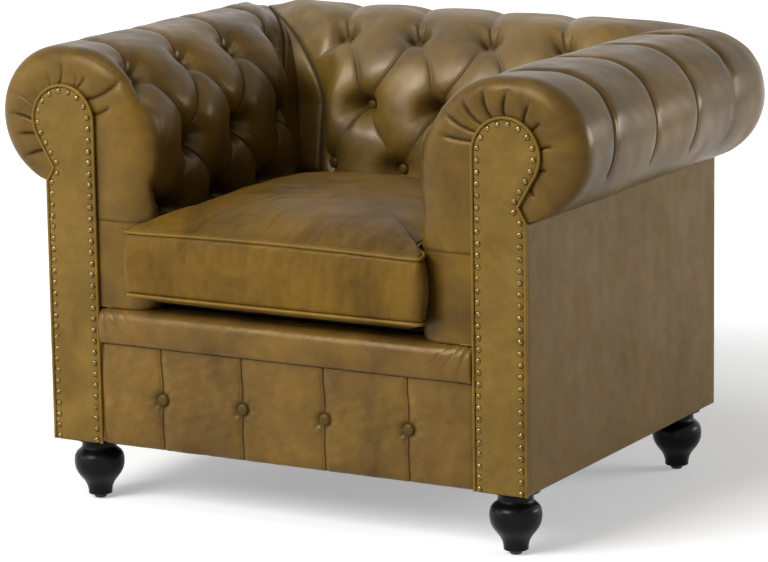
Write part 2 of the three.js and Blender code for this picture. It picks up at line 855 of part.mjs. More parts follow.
function cornerBlock(cornerY, towards, boltY) {
  const corner = [
    new THREE.Vector2(blockOuter, cornerY),
    new THREE.Vector2(blockOuter - blockLeg, cornerY),
    new THREE.Vector2(blockOuter, cornerY + towards * blockLeg),
  ];
  const boltHole = circlePoints(footOutset, boltY, boltHoleRadius, boltSteps);
  return flatPlate(corner, frameBottom, blockHeight, [boltHole]);
}

addPair('front_corner_block', cornerBlock(frontOfBlocks, 1, footFrontY), paleWood);
addPair('rear_corner_block', cornerBlock(rearOfBlocks, -1, footRearY), paleWood);

// Outside covers: stretched panels on the sides and the back, and a dust cover underneath.

const panelTop = rollSkirtHeight - clearance;
const panelInner = bodyHalf - panelThickness;
const sidePanelFront = facingWeltSetback + facingWeltRadius + clearance;

addPair('outside_arm_panel', boxBetween(
  [panelInner, sidePanelFront, undersideHeight],
  [bodyHalf, bodyDepth, panelTop],
), leather);
addNode('outside_back_panel', boxBetween(
  [clearance - panelInner, bodyDepth - panelThickness, undersideHeight],
  [panelInner - clearance, bodyDepth, panelTop],
), leather);

function dustCover() {
  const half = panelInner - clearance;
  const front = frontOfRuns;
  const rear = bodyDepth - panelThickness - clearance;
  const outline = [
    new THREE.Vector2(-half, front),
    new THREE.Vector2(half, front),
    new THREE.Vector2(half, rear),
    new THREE.Vector2(-half, rear),
  ];
  const holes = [];
  for (const x of [-footOutset, footOutset]) {
    for (const y of [footFrontY, footRearY]) {
      holes.push(circlePoints(x, y, boltHoleRadius, boltSteps));
    }
  }
  return flatPlate(outline, undersideHeight, dustCoverThickness, holes);
}

addNode('dust_cover', dustCover(), cambric);

// Lip: the rounded front edge of the seat, over the front rail.

const lipHalf = facingInner - facingWeltRadius - clearance;

function lipSection() {
  const top = deckHeight;
  const path = new THREE.Path();
  path.moveTo(apronThickness, lipBottomHeight);
  path.lineTo(0, lipBottomHeight);
  path.quadraticCurveTo(-lipFrontBulge, lipBottomHeight, -lipFrontBulge, (lipBottomHeight + top) / 2);
  path.quadraticCurveTo(-lipFrontBulge, top, lipRadius - lipFrontBulge, top);
  path.lineTo(lipDepth, top);
  path.lineTo(lipDepth, top - lipThickness);
  path.lineTo(apronThickness, top - lipThickness);
  return path.getPoints(4);
}

const lipPlace = (y, x, z) => new THREE.Vector3(x, y, z);
addNode('front_lip', sectionRun(lipSection(), lipPlace, () => -lipHalf, () => lipHalf), leather);

// Apron: five soft panels parted by pleats, with a covered button on each pleat.

function apronSolid() {
  const bottom = undersideHeight;
  const top = lipBottomHeight - clearance;
  const pocket = apronButtonRadius + clearance;
  const pleats = [];
  const firstPleat = (apronButtonPitch - apronPleatCount * apronButtonPitch) / 2;
  for (let i = 0; i < apronPleatCount; i += 1) {
    pleats.push(firstPleat + i * apronButtonPitch);
  }
  const across = [-lipHalf];
  for (const pleat of pleats) {
    across.push(pleat - apronButtonPitch / 3, pleat - pocket, pleat, pleat + pocket);
  }
  across.push(apronButtonPitch / 3 - firstPleat, lipHalf);
  const up = [
    bottom,
    (bottom + apronButtonHeight - pocket) / 2,
    apronButtonHeight - pocket,
    apronButtonHeight,
    apronButtonHeight + pocket,
    (top + apronButtonHeight + pocket) / 2,
    top,
  ];
  const frontY = (x, z) => {
    const off = Math.min(...pleats.map((pleat) => Math.abs(x - pleat)));
    const inPocket = off <= pocket + clearance && Math.abs(z - apronButtonHeight) <= pocket + clearance;
    const fold = inPocket ? 1 : Math.exp(-off / pocket);
    const rim = 1 - Math.sin((Math.PI * (z - bottom)) / (top - bottom));
    return apronCrownSetback + apronPleatDepth * Math.max(fold, rim * apronRimShare);
  };
  const loops = across.map((x) => [
    ...up.map((z) => new THREE.Vector3(x, frontY(x, z), z)),
    new THREE.Vector3(x, apronThickness, top),
    new THREE.Vector3(x, apronThickness, bottom),
  ]);
  const outline = loops[0].map((point) => new THREE.Vector2(point.y, point.z));
  return { solid: solidFromLoops(loops, outline), pleats };
}

const apron = apronSolid();
addNode('apron', apron.solid, leather);

// Profile of a covered button, from the middle of its seat to its crown: pairs of a share of the
// radius and a share of the thickness.
const coveredButtonShares = [[0, 0], [0.8, 0], [1, 0.3], [0.9, 0.65], [0.5, 0.93], [0, 1]];

function coveredButton(x) {
  const profile = coveredButtonShares.map(([out, up]) => [out * apronButtonRadius, up * apronButtonThickness]);
  const geometry = turned(profile, 0, 0, boltSteps);
  geometry.rotateX(Math.PI / 2);
  geometry.translate(x, apronCrownSetback + apronPleatDepth - clearance, apronButtonHeight);
  return geometry;
}

apron.pleats.forEach((x, index) => addNode(`apron_button_${index + 1}`, coveredButton(x), leather));

// Seat springs and deck

const springBottom = railTop + clearance + springWireRadius;
const deckBottom = deckHeight - deckThickness;
const firstSpring = (springPitch - springCount * springPitch) / 2;

function sinuousSpring(x) {
  const front = frontRailFront + springEndMargin;
  const rear = rearOfBlocks + clearance + railThickness - springEndMargin;
  const loops = 2 * Math.round((rear - front) / springLoopPitch);
  const points = [];
  const stepsPerLoop = 3;
  for (let i = 0; i <= loops * stepsPerLoop; i += 1) {
    const share = i / (loops * stepsPerLoop);
    const turn = (Math.PI * i) / stepsPerLoop;
    const rise = springCrown * Math.sin(Math.PI * share);
    const y = THREE.MathUtils.lerp(front, rear, share);
    points.push(new THREE.Vector3(x + springHalfWidth * Math.sin(turn), y, springBottom + rise));
  }
  const route = new THREE.CatmullRomCurve3(points, false, 'centripetal');
  return tubeAlong(route, springWireRadius, loops * stepsPerLoop, 4);
}

for (let i = 0; i < springCount; i += 1) {
  addNode(`sinuous_spring_${i + 1}`, sinuousSpring(firstSpring + i * springPitch), steel);
}

addNode('deck_pad', boxBetween(
  [clearance - coreInner, lipDepth + clearance, deckBottom],
  [coreInner - clearance, coreBackFront - clearance, deckHeight],
), foam);

// Rings of the top and bottom panels, as shares of the way from the edge to the middle, and of the
// boxing, as shares of the way from its lower to its upper seam.
const cushionRingShares = [0, 0.08, 0.22, 0.5, 0.96];
const boxingRingShares = [0.3, 0.7];
const crownCurveShare = 5;
const undersideCurveShare = 6;

// Seat cushion: crowned top and bottom panels, a boxing that bellies out, and two welts.

const cushionSide = wellHalf - cushionSideClearance;
const cushionRear = wellHalf + mitreShift - backLeanForward - cushionRearClearance;

// How far the neck's curve holds the line of the side, and then of the front, as shares of its length.
const cushionNeckShares = [1 / 4, 1 / 6];

// Outline in plan, from the middle of the rear edge round to the same place.
function cushionOutline() {
  const front = -cushionFrontReach;
  const wide = cushionFrontWidth / 2;
  const corner = cushionCornerRadius;
  const path = new THREE.Path();
  const neck = cushionNeckLength;
  path.moveTo(0, cushionRear);
  between(0, cushionSide - corner, cushionSideSteps).forEach((x) => path.lineTo(x, cushionRear));
  path.absarc(cushionSide - corner, cushionRear - corner, corner, Math.PI / 2, 0, true);
  between(cushionRear - corner, neck, cushionSideSteps).forEach((y) => path.lineTo(cushionSide, y));
  const [leave, arrive] = cushionNeckShares.map((share) => share * neck);
  path.bezierCurveTo(cushionSide, leave, wide, arrive, wide, front + corner / 2);
  path.quadraticCurveTo(wide, front, wide - corner / 2, front + cushionFrontSweep);
  path.quadraticCurveTo(wide / 2, front, 0, front);
  const half = path.getPoints(cushionCornerSteps);
  const rest = half.slice(1, -1).reverse().map((point) => new THREE.Vector2(-point.x, point.y));
  return [...half, ...rest];
}

function closedOffset(points, distance) {
  const wrapped = [points[points.length - 1], ...points, points[0]];
  return offsetOutline(wrapped, distance).slice(1, -1);
}

const cushionHalfDepth = (cushionRear + cushionFrontReach) / 2;
const cushionBottomWeltHeight = deckHeight + cushionUndersideDepth;
const cushionTopWeltHeight = cushionBottomWeltHeight + cushionBoxingHeight;
const cushionMiddle = cushionRear - cushionHalfDepth;

// The top seam lies lowest at the corners and rises between them.
function topWeltHeight(point) {
  const across = Math.min(1, Math.abs(point.x) / cushionSide);
  const along = Math.min(1, Math.abs(point.y - cushionMiddle) / cushionHalfDepth);
  const sides = cushionSideRise * (1 - along * along);
  const ends = cushionFrontRise * (1 - across * across);
  return cushionTopWeltHeight + sides + ends;
}

function bottomWeltHeight() {
  return cushionBottomWeltHeight;
}

// Rings of the cushion from the middle of its underside to the middle of its top. Each ring is the
// outline moved in by an inset and drawn towards the middle by a share.
function seatCushion() {
  const outline = cushionOutline();
  const middle = new THREE.Vector2(0, cushionMiddle);
  const groove = (cushionWeltRadius + clearance) / Math.cos(Math.PI / 8);
  const rings = [];
  const addRing = (inset, share, heightOf) => {
    rings.push(closedOffset(outline, -inset).map((edge) => {
      const point = edge.clone().lerp(middle, share);
      return new THREE.Vector3(point.x, point.y, heightOf(point));
    }));
  };
  const rise = (share, power) => 1 - Math.pow(1 - share, power);
  const addGroove = (heightOf, turns) => {
    for (const turn of turns) {
      const inset = cushionWeltInset - groove * Math.cos(turn * Math.PI);
      addRing(inset, 0, (point) => heightOf(point) + groove * Math.sin(turn * Math.PI));
    }
  };
  const panelInset = cushionWeltInset + groove * Math.SQRT1_2;
  const panelLift = groove * Math.SQRT1_2;
  const bottomEdge = cushionBottomWeltHeight - panelLift;
  const bottomDrop = bottomEdge - deckHeight - cushionSeatClearance;
  for (const share of [...cushionRingShares].reverse()) {
    addRing(panelInset, share, () => bottomEdge - bottomDrop * rise(share, undersideCurveShare));
  }
  addGroove(bottomWeltHeight, [1, 0.75, 0.5]);
  for (const share of boxingRingShares) {
    addRing(0, 0, (point) => THREE.MathUtils.lerp(bottomWeltHeight(), topWeltHeight(point), share));
  }
  addGroove(topWeltHeight, [-0.5, -0.75, 1]);
  for (const share of cushionRingShares) {
    addRing(panelInset, share, (point) => (
      topWeltHeight(point) + panelLift + (cushionCrown - panelLift) * rise(share, crownCurveShare)));
  }
  return solidFromLoops(rings, outline);
}

addNode('seat_cushion', seatCushion(), leather);

// A welt follows the groove round the cushion, and its ends meet in the middle of the rear edge.
function cushionWelt(heightOf) {
  const outline = cushionOutline();
  const offsets = [];
  for (let i = 0; i < tubeSides; i += 1) {
    const turn = (2 * Math.PI * (i + 0.5)) / tubeSides;
    offsets.push([cushionWeltRadius * Math.cos(turn), cushionWeltRadius * Math.sin(turn)]);
  }
  const rails = offsets.map(([out, up]) => closedOffset(outline, out - cushionWeltInset).map((point) => (
    new THREE.Vector3(point.x, point.y, heightOf(point) + up))));
  const loops = outline.map((point, i) => rails.map((rail) => rail[i]));
  const butt = (side) => loops[0].map((point) => new THREE.Vector3((side * weltButtGap) / 2, point.y, point.z));
  return solidFromLoops(
    [butt(1), ...loops.slice(1), butt(-1)],
    offsets.map(([out, up]) => new THREE.Vector2(out, up)),
  );
}

addNode('cushion_welt_top', cushionWelt(topWeltHeight), leather);
addNode('cushion_welt_bottom', cushionWelt(bottomWeltHeight), leather);

// Feet: turned buns with a threaded bolt up into the corner blocks and a glide nailed underneath.

function footProfile() {
  const top = undersideHeight - clearance;
  const plateBottom = top - footPlateThickness;
  const path = new THREE.Path();
  path.moveTo(glidePinRadius + clearance, footBottomHeight + glidePinLength);
  path.lineTo(glidePinRadius + clearance, footBottomHeight);
  path.lineTo(footAnkleRadius, footBottomHeight);
  path.bezierCurveTo(
    footAnkleRadius, (footBottomHeight + footBulbHeight) / 2,
    footBulbRadius, (footBottomHeight + footBulbHeight) / 2,
    footBulbRadius, footBulbHeight,
  );
  path.bezierCurveTo(
    footBulbRadius, footNeckHeight,
    footNeckRadius, (footBulbHeight + footNeckHeight) / 2,
    footNeckRadius, footNeckHeight,
  );
  path.quadraticCurveTo(footNeckRadius, plateBottom, footPlateRadius, plateBottom);
  path.lineTo(footPlateRadius, top);
  path.lineTo(boltHoleRadius, top);
  path.lineTo(boltHoleRadius, top - boltInFoot);
  const points = path.getPoints(footSteps).map((point) => [point.x, point.y]);
  return [[0, footBottomHeight + glidePinLength], ...points, [0, top - boltInFoot]];
}

const boltProfile = [
  [0, undersideHeight - boltInFoot],
  [boltRadius, undersideHeight - boltInFoot],
  [boltRadius, undersideHeight + boltInBlock - boltTipLength],
  [0, undersideHeight + boltInBlock],
];

const glideTop = footBottomHeight - clearance;
const glideProfile = [
  [0, 0],
  [glideRadius - glideEdgeRadius, 0],
  [glideRadius, glideEdgeRadius],
  [glideRadius, glideTop],
  [glidePinRadius, glideTop],
  [glidePinRadius, footBottomHeight + glidePinLength - clearance],
  [0, footBottomHeight + glidePinLength - clearance],
];

for (const [place, y] of [['front', footFrontY], ['rear', footRearY]]) {
  addPair(`${place}_foot`, turned(footProfile(), footOutset, y), blackWood);
  addPair(`${place}_foot_bolt`, turned(boltProfile, footOutset, y, boltSteps), steel);
  addPair(`${place}_foot_glide`, turned(glideProfile, footOutset, y, boltSteps), nylon);
}

// The origin is on the floor, under the middle of the whole chair's width and depth.
const reach = new THREE.Box3().setFromObject(chair);
chair.position.set(-(reach.min.x + reach.max.x) / 2, -(reach.min.y + reach.max.y) / 2, -reach.min.z);
chair.updateMatrixWorld(true);

export default chair;
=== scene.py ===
"""Looks of the tufted club armchair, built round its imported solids.

Sizes are in millimetres in the chair's own axes: x across, y back from the plane of the arm
facings, z up from the floor. to_frame() turns them into the row frame's metres.
"""

import math

import bpy
import numpy as np
from mathutils import Matrix, Vector
from mathutils.kdtree import KDTree


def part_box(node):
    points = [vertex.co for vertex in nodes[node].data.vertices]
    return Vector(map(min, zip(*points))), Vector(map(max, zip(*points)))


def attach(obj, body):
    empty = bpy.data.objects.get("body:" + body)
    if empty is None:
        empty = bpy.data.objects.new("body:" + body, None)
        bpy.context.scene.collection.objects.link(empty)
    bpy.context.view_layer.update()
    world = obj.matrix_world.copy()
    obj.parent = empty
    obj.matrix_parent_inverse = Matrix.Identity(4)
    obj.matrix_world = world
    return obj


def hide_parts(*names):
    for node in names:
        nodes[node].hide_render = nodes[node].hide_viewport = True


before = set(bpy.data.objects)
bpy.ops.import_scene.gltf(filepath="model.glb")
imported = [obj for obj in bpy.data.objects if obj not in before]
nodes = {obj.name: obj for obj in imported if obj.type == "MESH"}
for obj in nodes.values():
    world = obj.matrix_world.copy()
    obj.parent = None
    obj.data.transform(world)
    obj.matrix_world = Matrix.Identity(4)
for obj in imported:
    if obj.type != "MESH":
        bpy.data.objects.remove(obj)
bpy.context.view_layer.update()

MM = 0.001
FACE_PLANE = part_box("right_arm_facing")[0].y

# Sizes shared with the solids
BODY_HALF = 420.0
BODY_DEPTH = 673.0
UNDERSIDE = 104.0
DECK = 324.3
WELL_HALF = 230.0
MITRE_SHIFT = BODY_DEPTH - BODY_HALF
ROLL_RADIUS = 110.5
ROLL_CENTRE_Z = 618.5
ROLL_CENTRE_INSET = 15.0
ROLL_UNDER = 104.0
SHOULDER_RADIUS = 150.0
CORNER_RADIUS = 151.0
SKIRT_FADE = 60.0
ROLL_TOP = ROLL_CENTRE_Z + ROLL_RADIUS
ROLL_OUT = BODY_HALF - ROLL_CENTRE_INSET
ARCH_RADIUS = 55.2
ARCH_Z = 615.3
ARCH_INSET = 32.0
NOTCH_Z = 539.7
NOTCH_INSET = 12.6
SHOULDER_Z = 518.0
FACING_THICKNESS = 6.0
WELT_RADIUS = 3.5
WELT_SETBACK = 2.0
CORE_INSET = 6.0
GAP = 0.3
NOSE_DEPTH = 42.0
NOSE_BULGE = 5.0
NOSE_POWER = 0.7
NOSE_FRONT = FACING_THICKNESS + GAP
SEAM = 138.0
ROWS = (148.0, 251.0, 396.0)
BACK_LIFT = 10.0
ROW_DEPTHS = (42.0, 58.0, 38.0)
BAND_INSET = 4.0
CREASE_WIDTH = 19.0
PLEAT_LENGTH = 250.0
ARM_FIRST = 73.5
ARM_PITCH = 142.0
BACK_PITCH = 134.0
LONG_ROW = 4
LEAN = 10.0
LEAN_ZERO_Z = 655.0
CORNER_BLEND = 45.0
FACING_INNER = BODY_HALF - ARCH_INSET - ARCH_RADIUS

# Mesh steps, and the form that only the hide has
STEPS = 30
ROLL_ROWS = 180
SKIN_FOOT_HEIGHT = 12.0
SKIN_FOOT_TUCK = 4.0
FOLD_DEPTH = 3.2
FOLD_LINE = 1.7
END_FOLD_LINE = 2.2
TWIN_OFFSET = 5.5
SEAM_LINE = 1.6
MITRE_SHADE_LINE = 5.0
HEM_SHADOW_LINE = 17.0
HEM_SHADE = 42.0
VALLEY_WIDE = CREASE_WIDTH * 1.35
VALLEY_TIGHT = CREASE_WIDTH * 0.5
HOLLOW_BLEND = 2.6
SAG_POWER = 0.42
VALLEY_SHADE = 0.45
FOLD_LIP_HEIGHT = 0.6
FOLD_LIP_OFFSET = 4.0
FOLD_LIP_WIDTH = 2.2
RAY_HEIGHT = 0.18
RAY_RADIUS = 19.0
RAY_WIDTH = 9.0
ARM_DRIFT_FADE = 140.0
BACK_DRIFT_FADE = 110.0
CORNER_FILL_LOW = 0.14
SKIN_ROUGH = 1.3
SKIN_ROUGH_SIZE = 150.0
GATHER_DEPTH = 3.2
GATHER_VALLEY = 6.0
GATHER_RIDGE_OFFSET = 3.4
GATHER_RIDGE = 1.6
PAD_FILL = 0.85
ARM_STYLE = {"sag": 0.85, "pleat_start": 0.2, "pleat_length": 1.35 * PLEAT_LENGTH, "pleat_end": 1.15,
             "pleat_line": 1.0, "pleat_twin": 0.35, "pleat_wide": 0.42, "wrinkles": ()}
BACK_STYLE = {"sag": 0.89, "pleat_start": 0.34, "pleat_length": PLEAT_LENGTH, "pleat_end": 0.95,
              "pleat_line": 0.2, "pleat_twin": 0.0, "pleat_wide": 1.0,
              "wrinkles": (((-2, 6), (-5, 42), 1.0), ((4, 5), (16, 34), 0.7))}


def to_frame(points):
    """Millimetres in the chair's axes as metres in the row frame."""
    moved = np.asarray(points, float) * MM
    moved[..., 1] += FACE_PLANE
    return moved


def smooth_step(low, high, value):
    """0 below low, 1 above high, and a soft rise between them."""
    share = np.clip((np.asarray(value, float) - low) / (high - low), 0, 1)
    return share * share * (3 - 2 * share)


def lerp(a, b, share):
    return a + (b - a) * share


def bell(distance, width, power=2):
    """1 at no distance and 1/e at the width. A lower power makes its foot wider."""
    return np.exp(-np.power(distance / width, power))


def unit(vectors):
    return vectors / np.linalg.norm(vectors, axis=-1, keepdims=True)


def quarter_turned(directions):
    """Directions in a plane, each turned a quarter to its left."""
    return np.stack([-directions[:, 1], directions[:, 0]], axis=-1)


def spread(x, y, z):
    """Points from three coordinates, which are first spread over one grid."""
    return np.stack(np.broadcast_arrays(x, y, z), axis=-1)


def wave(points, seed, size, octaves=3):
    """Smooth, repeatable unevenness between about -1 and 1 at the given size."""
    draw = np.random.default_rng(seed)
    total = np.zeros(np.shape(points)[:-1])
    reach = 0.0
    for octave in range(octaves):
        weight = 0.5**octave
        for _ in range(5):
            direction = draw.normal(size=3)
            direction /= np.linalg.norm(direction)
            turns = 2 * math.pi * 2**octave / (size * draw.uniform(0.7, 1.4))
            phase = draw.uniform(0, 2 * math.pi)
            total += weight * np.sin(np.asarray(points) @ direction * turns + phase)
        reach += weight * 2.2
    return total / reach


# Mesh making


def divided(points, quads):
    """Four-sided faces as triangles, folded along their deeper diagonal."""
    a, b, c, d = (points[quads[:, k]] for k in range(4))
    outward = np.cross(c - a, d - b)
    rise = np.einsum("ij,ij->i", a + c - b - d, outward)
    turned = np.where((rise <= 0)[:, None], quads, np.roll(quads, -1, axis=1))
    return np.concatenate([turned[:, [0, 1, 2]], turned[:, [0, 2, 3]]])


def signed_volume(points, triangles):
    a, b, c = (points[triangles[:, k]] for k in range(3))
    return np.einsum("ij,ij->i", a, np.cross(b, c)).sum() / 6


def add_mesh(name, points, triangles, material, fold=None, body="chair"):
    """A mesh piece from points in millimetres. fold says how much of a fold line each point has, and its
    leather paints that much shade into the colour.
    """
    placed = to_frame(points)
    triangles = np.asarray(triangles, int)
    if signed_volume(placed, triangles) < 0:
        triangles = triangles[:, ::-1]
    mesh = bpy.data.meshes.new(name)
    mesh.vertices.add(len(placed))
    mesh.vertices.foreach_set("co", placed.astype(np.float32).ravel())
    mesh.loops.add(triangles.size)
    mesh.loops.foreach_set("vertex_index", triangles.astype(np.int32).ravel())
    mesh.polygons.add(len(triangles))
    mesh.polygons.foreach_set("loop_start", np.arange(0, triangles.size, 3, dtype=np.int32))
    mesh.update(calc_edges=True)
    mesh.polygons.foreach_set("use_smooth", np.ones(len(triangles), bool))
    if fold is not None:
        layer = mesh.attributes.new("fold", "FLOAT", "POINT")
        layer.data.foreach_set("value", np.asarray(fold, np.float32).ravel())
    mesh.validate()
    piece = bpy.data.objects.new(name, mesh)
    bpy.context.scene.collection.objects.link(piece)
    mesh.materials.append(material)
    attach(piece, body)
    return piece


def cover(name, shape, material, stands_for, fold=None, body="chair"):
    """A visible piece that takes the place of a solid. The fill given to folded_cover is not used."""
    piece = add_mesh(name, *shape, material, fold, body)
    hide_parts(stands_for)


def ring_faces(loops, size):
    """Four-sided faces between loops of points, each joined to the next."""
    rows = np.arange(loops - 1)[:, None] * size
    i = np.arange(size)[None, :]
    j = (i + 1) % size
    quads = np.stack([rows + i, rows + j, rows + size + j, rows + size + i], axis=-1)
    return quads.reshape(-1, 4)


def outward_quads(points, quads):
    """The faces turned so that the closed surface they form looks outward."""
    triangles = np.concatenate([quads[:, [0, 1, 2]], quads[:, [0, 2, 3]]])
    return quads if signed_volume(points, triangles) > 0 else quads[:, ::-1]


def ring_skin(points, loops, size):
    """Outward triangles between loops of points, without what closes the first and the last."""
    return divided(points, outward_quads(points, ring_faces(loops, size)))


def fan(ring, middle):
    """Triangles from a ring of point numbers to one in its middle."""
    return np.stack([ring, np.roll(ring, -1), np.full(len(ring), middle)], axis=-1)


def strip_cap(outer, inner):
    """Triangles that join two rows of point numbers which run side by side."""
    faces = []
    i = j = 0
    while i < len(outer) - 1 or j < len(inner) - 1:
        outer_next = (i + 1) / (len(outer) - 1) if i < len(outer) - 1 else 9
        inner_next = (j + 1) / (len(inner) - 1) if j < len(inner) - 1 else 9
        if outer_next <= inner_next:
            faces.append([outer[i], outer[i + 1], inner[j]])
            i += 1
        else:
            faces.append([outer[i], inner[j + 1], inner[j]])
            j += 1
    return np.array(faces)


def outward_cap(points, cap):
    """The cap turned so that it looks away from the middle of the points."""
    a, b, c = (points[cap[:, k]] for k in range(3))
    normal = np.cross(b - a, c - a).sum(axis=0)
    away = (a + b + c).mean(axis=0) / 3 - points.mean(axis=0)
    return cap if normal @ away >= 0 else cap[:, ::-1]


def closed_from_loops(loops, half=None):
    """A closed skin from loops whose first points and last ones face each other across a thickness."""
    size = loops.shape[1]
    half = half or size // 2
    points = loops.reshape(-1, 3)
    faces = [ring_skin(points, len(loops), size)]
    for row in (0, len(loops) - 1):
        outer = row * size + np.arange(half)
        inner = row * size + np.arange(size - 1, half - 1, -1)
        faces.append(outward_cap(points, strip_cap(outer, inner)))
    return points, np.concatenate(faces)


def folded_cover(name, loops, fold, material, stands_for, fill):
    """A leather cover from loops of front points, which have the fold values, and points behind."""
    half = fold.shape[1]
    behind = np.zeros((len(loops), loops.shape[1] - half))
    fold = np.concatenate([fold, behind], axis=1)
    cover(name, closed_from_loops(loops, half), material, stands_for, fold)


def with_back(front, back):
    """Loops of front points, each closed by the same row of back points, given as (y, z)."""
    backs = spread(front[:, :1, 0], back[:, 0], back[:, 1])
    return np.concatenate([front, backs], axis=1)


def mirrored(points):
    """The same points on the chair's other side."""
    return np.asarray(points) * np.array([-1.0, 1.0, 1.0])


# Lines in a plane: each is a dense run of points that at() reads by distance


class Line:
    """A run of points that can be read by the distance along it."""

    def __init__(self, points):
        self.points = np.asarray(points, float)
        steps = np.linalg.norm(np.diff(self.points, axis=0), axis=1)
        self.along = np.concatenate([[0], np.cumsum(steps)])
        self.length = self.along[-1]

    def at(self, distance):
        columns = [np.interp(distance, self.along, self.points[:, k]) for k in range(self.points.shape[1])]
        return np.stack(columns, axis=-1)

    def ahead(self, distance):
        step = self.length / 4000
        further = self.at(np.minimum(distance + step, self.length))
        return unit(further - self.at(np.maximum(distance - step, 0)))


def arc(cx, cz, rx, rz, start, end, steps=160):
    turn = np.linspace(start, end, steps)
    return np.stack([cx + rx * np.cos(turn), cz + rz * np.sin(turn)], axis=-1)


def arch_tangent():
    """Where on the arch the facing's straight edge to the notch leaves it."""
    out = ARCH_INSET - NOTCH_INSET
    down = ARCH_Z - NOTCH_Z
    return -math.atan2(down, out) + math.acos(ARCH_RADIUS / math.hypot(out, down))


SKIRT_TURN = -math.acos(ROLL_CENTRE_INSET / ROLL_RADIUS)
SHOULDER_OUT = WELL_HALF + SHOULDER_RADIUS
SHOULDER_START_Z = ROLL_TOP - SHOULDER_RADIUS
skin_low = Line([[WELL_HALF, DECK], [WELL_HALF, SHOULDER_START_Z]])
skin_high = Line(np.concatenate([
    arc(SHOULDER_OUT, SHOULDER_START_Z, SHOULDER_RADIUS, SHOULDER_RADIUS, math.pi, math.pi / 2),
    arc(ROLL_OUT, ROLL_CENTRE_Z, ROLL_RADIUS, ROLL_RADIUS, math.pi / 2, 0),
    arc(ROLL_OUT, ROLL_CENTRE_Z, ROLL_RADIUS, ROLL_UNDER, -0.001, SKIRT_TURN),
]))
face_low = Line([[FACING_INNER, DECK], [FACING_INNER, ARCH_Z]])
face_high = Line(np.concatenate([
    arc(BODY_HALF - ARCH_INSET, ARCH_Z, ARCH_RADIUS, ARCH_RADIUS, math.pi, arch_tangent()),
    [[BODY_HALF - NOTCH_INSET, NOTCH_Z], [BODY_HALF, SHOULDER_Z]],
]))
LOW_LENGTH = skin_low.length
SKIN_LENGTH = skin_low.length + skin_high.length
SKIRT_Z = ROLL_CENTRE_Z + ROLL_UNDER * math.sin(SKIRT_TURN)
ROLL_OUTER = ROLL_OUT + ROLL_RADIUS


class Skin:
    """Points up the skin of an arm or the back, with what each needs."""

    def __init__(self, rows):
        self.rows = rows
        self.heights = np.concatenate([
            np.linspace(0, SKIN_FOOT_HEIGHT, 5)[:-1],
            np.linspace(SKIN_FOOT_HEIGHT, SEAM - 6, 14)[:-1],
            [SEAM - 6, SEAM - 3, SEAM - 1.2, SEAM, SEAM + 1.2, SEAM + 3, (SEAM + rows[0]) / 2 + 1],
            np.linspace(rows[0], rows[1], STEPS + 1)[:-1],
            np.linspace(rows[1], rows[2], STEPS + 1)[:-1],
            np.linspace(rows[2], SKIN_LENGTH, ROLL_ROWS + 1),
        ])
        high = self.heights > LOW_LENGTH
        share = np.where(high, (self.heights - LOW_LENGTH) / skin_high.length, self.heights / LOW_LENGTH)
        low_points = skin_low.at(share * skin_low.length)
        high_points = skin_high.at(share * skin_high.length)
        ahead = np.where(high[:, None], skin_high.ahead(share * skin_high.length), [[0.0, 1.0]])
        self.points = np.where(high[:, None], high_points, low_points)
        self.normals = quarter_turned(ahead)
        level = np.interp(self.heights, (0, SEAM, LOW_LENGTH), (0, SEAM, face_low.length))
        self.faces = np.where(high[:, None], face_high.at(share * face_high.length), face_low.at(level))
        self.face_along = np.where(high, share * face_high.length, -1.0)


arm_skin = Skin(ROWS)
back_skin = Skin(tuple(row + BACK_LIFT for row in ROWS))


def tuft_depth(height):
    """How deep the buttons sink at a height up the skin."""
    low, middle, top = ROWS
    lower = lerp(ROW_DEPTHS[0], ROW_DEPTHS[1], np.clip((height - low) / (middle - low), 0, 1))
    upper = lerp(ROW_DEPTHS[1], ROW_DEPTHS[2], np.clip((height - middle) / (top - middle), 0, 1))
    return np.where(height < middle, lower, upper)


# Tufting: creases are folds between the buttons, and each has a wide valley and a thin fold line


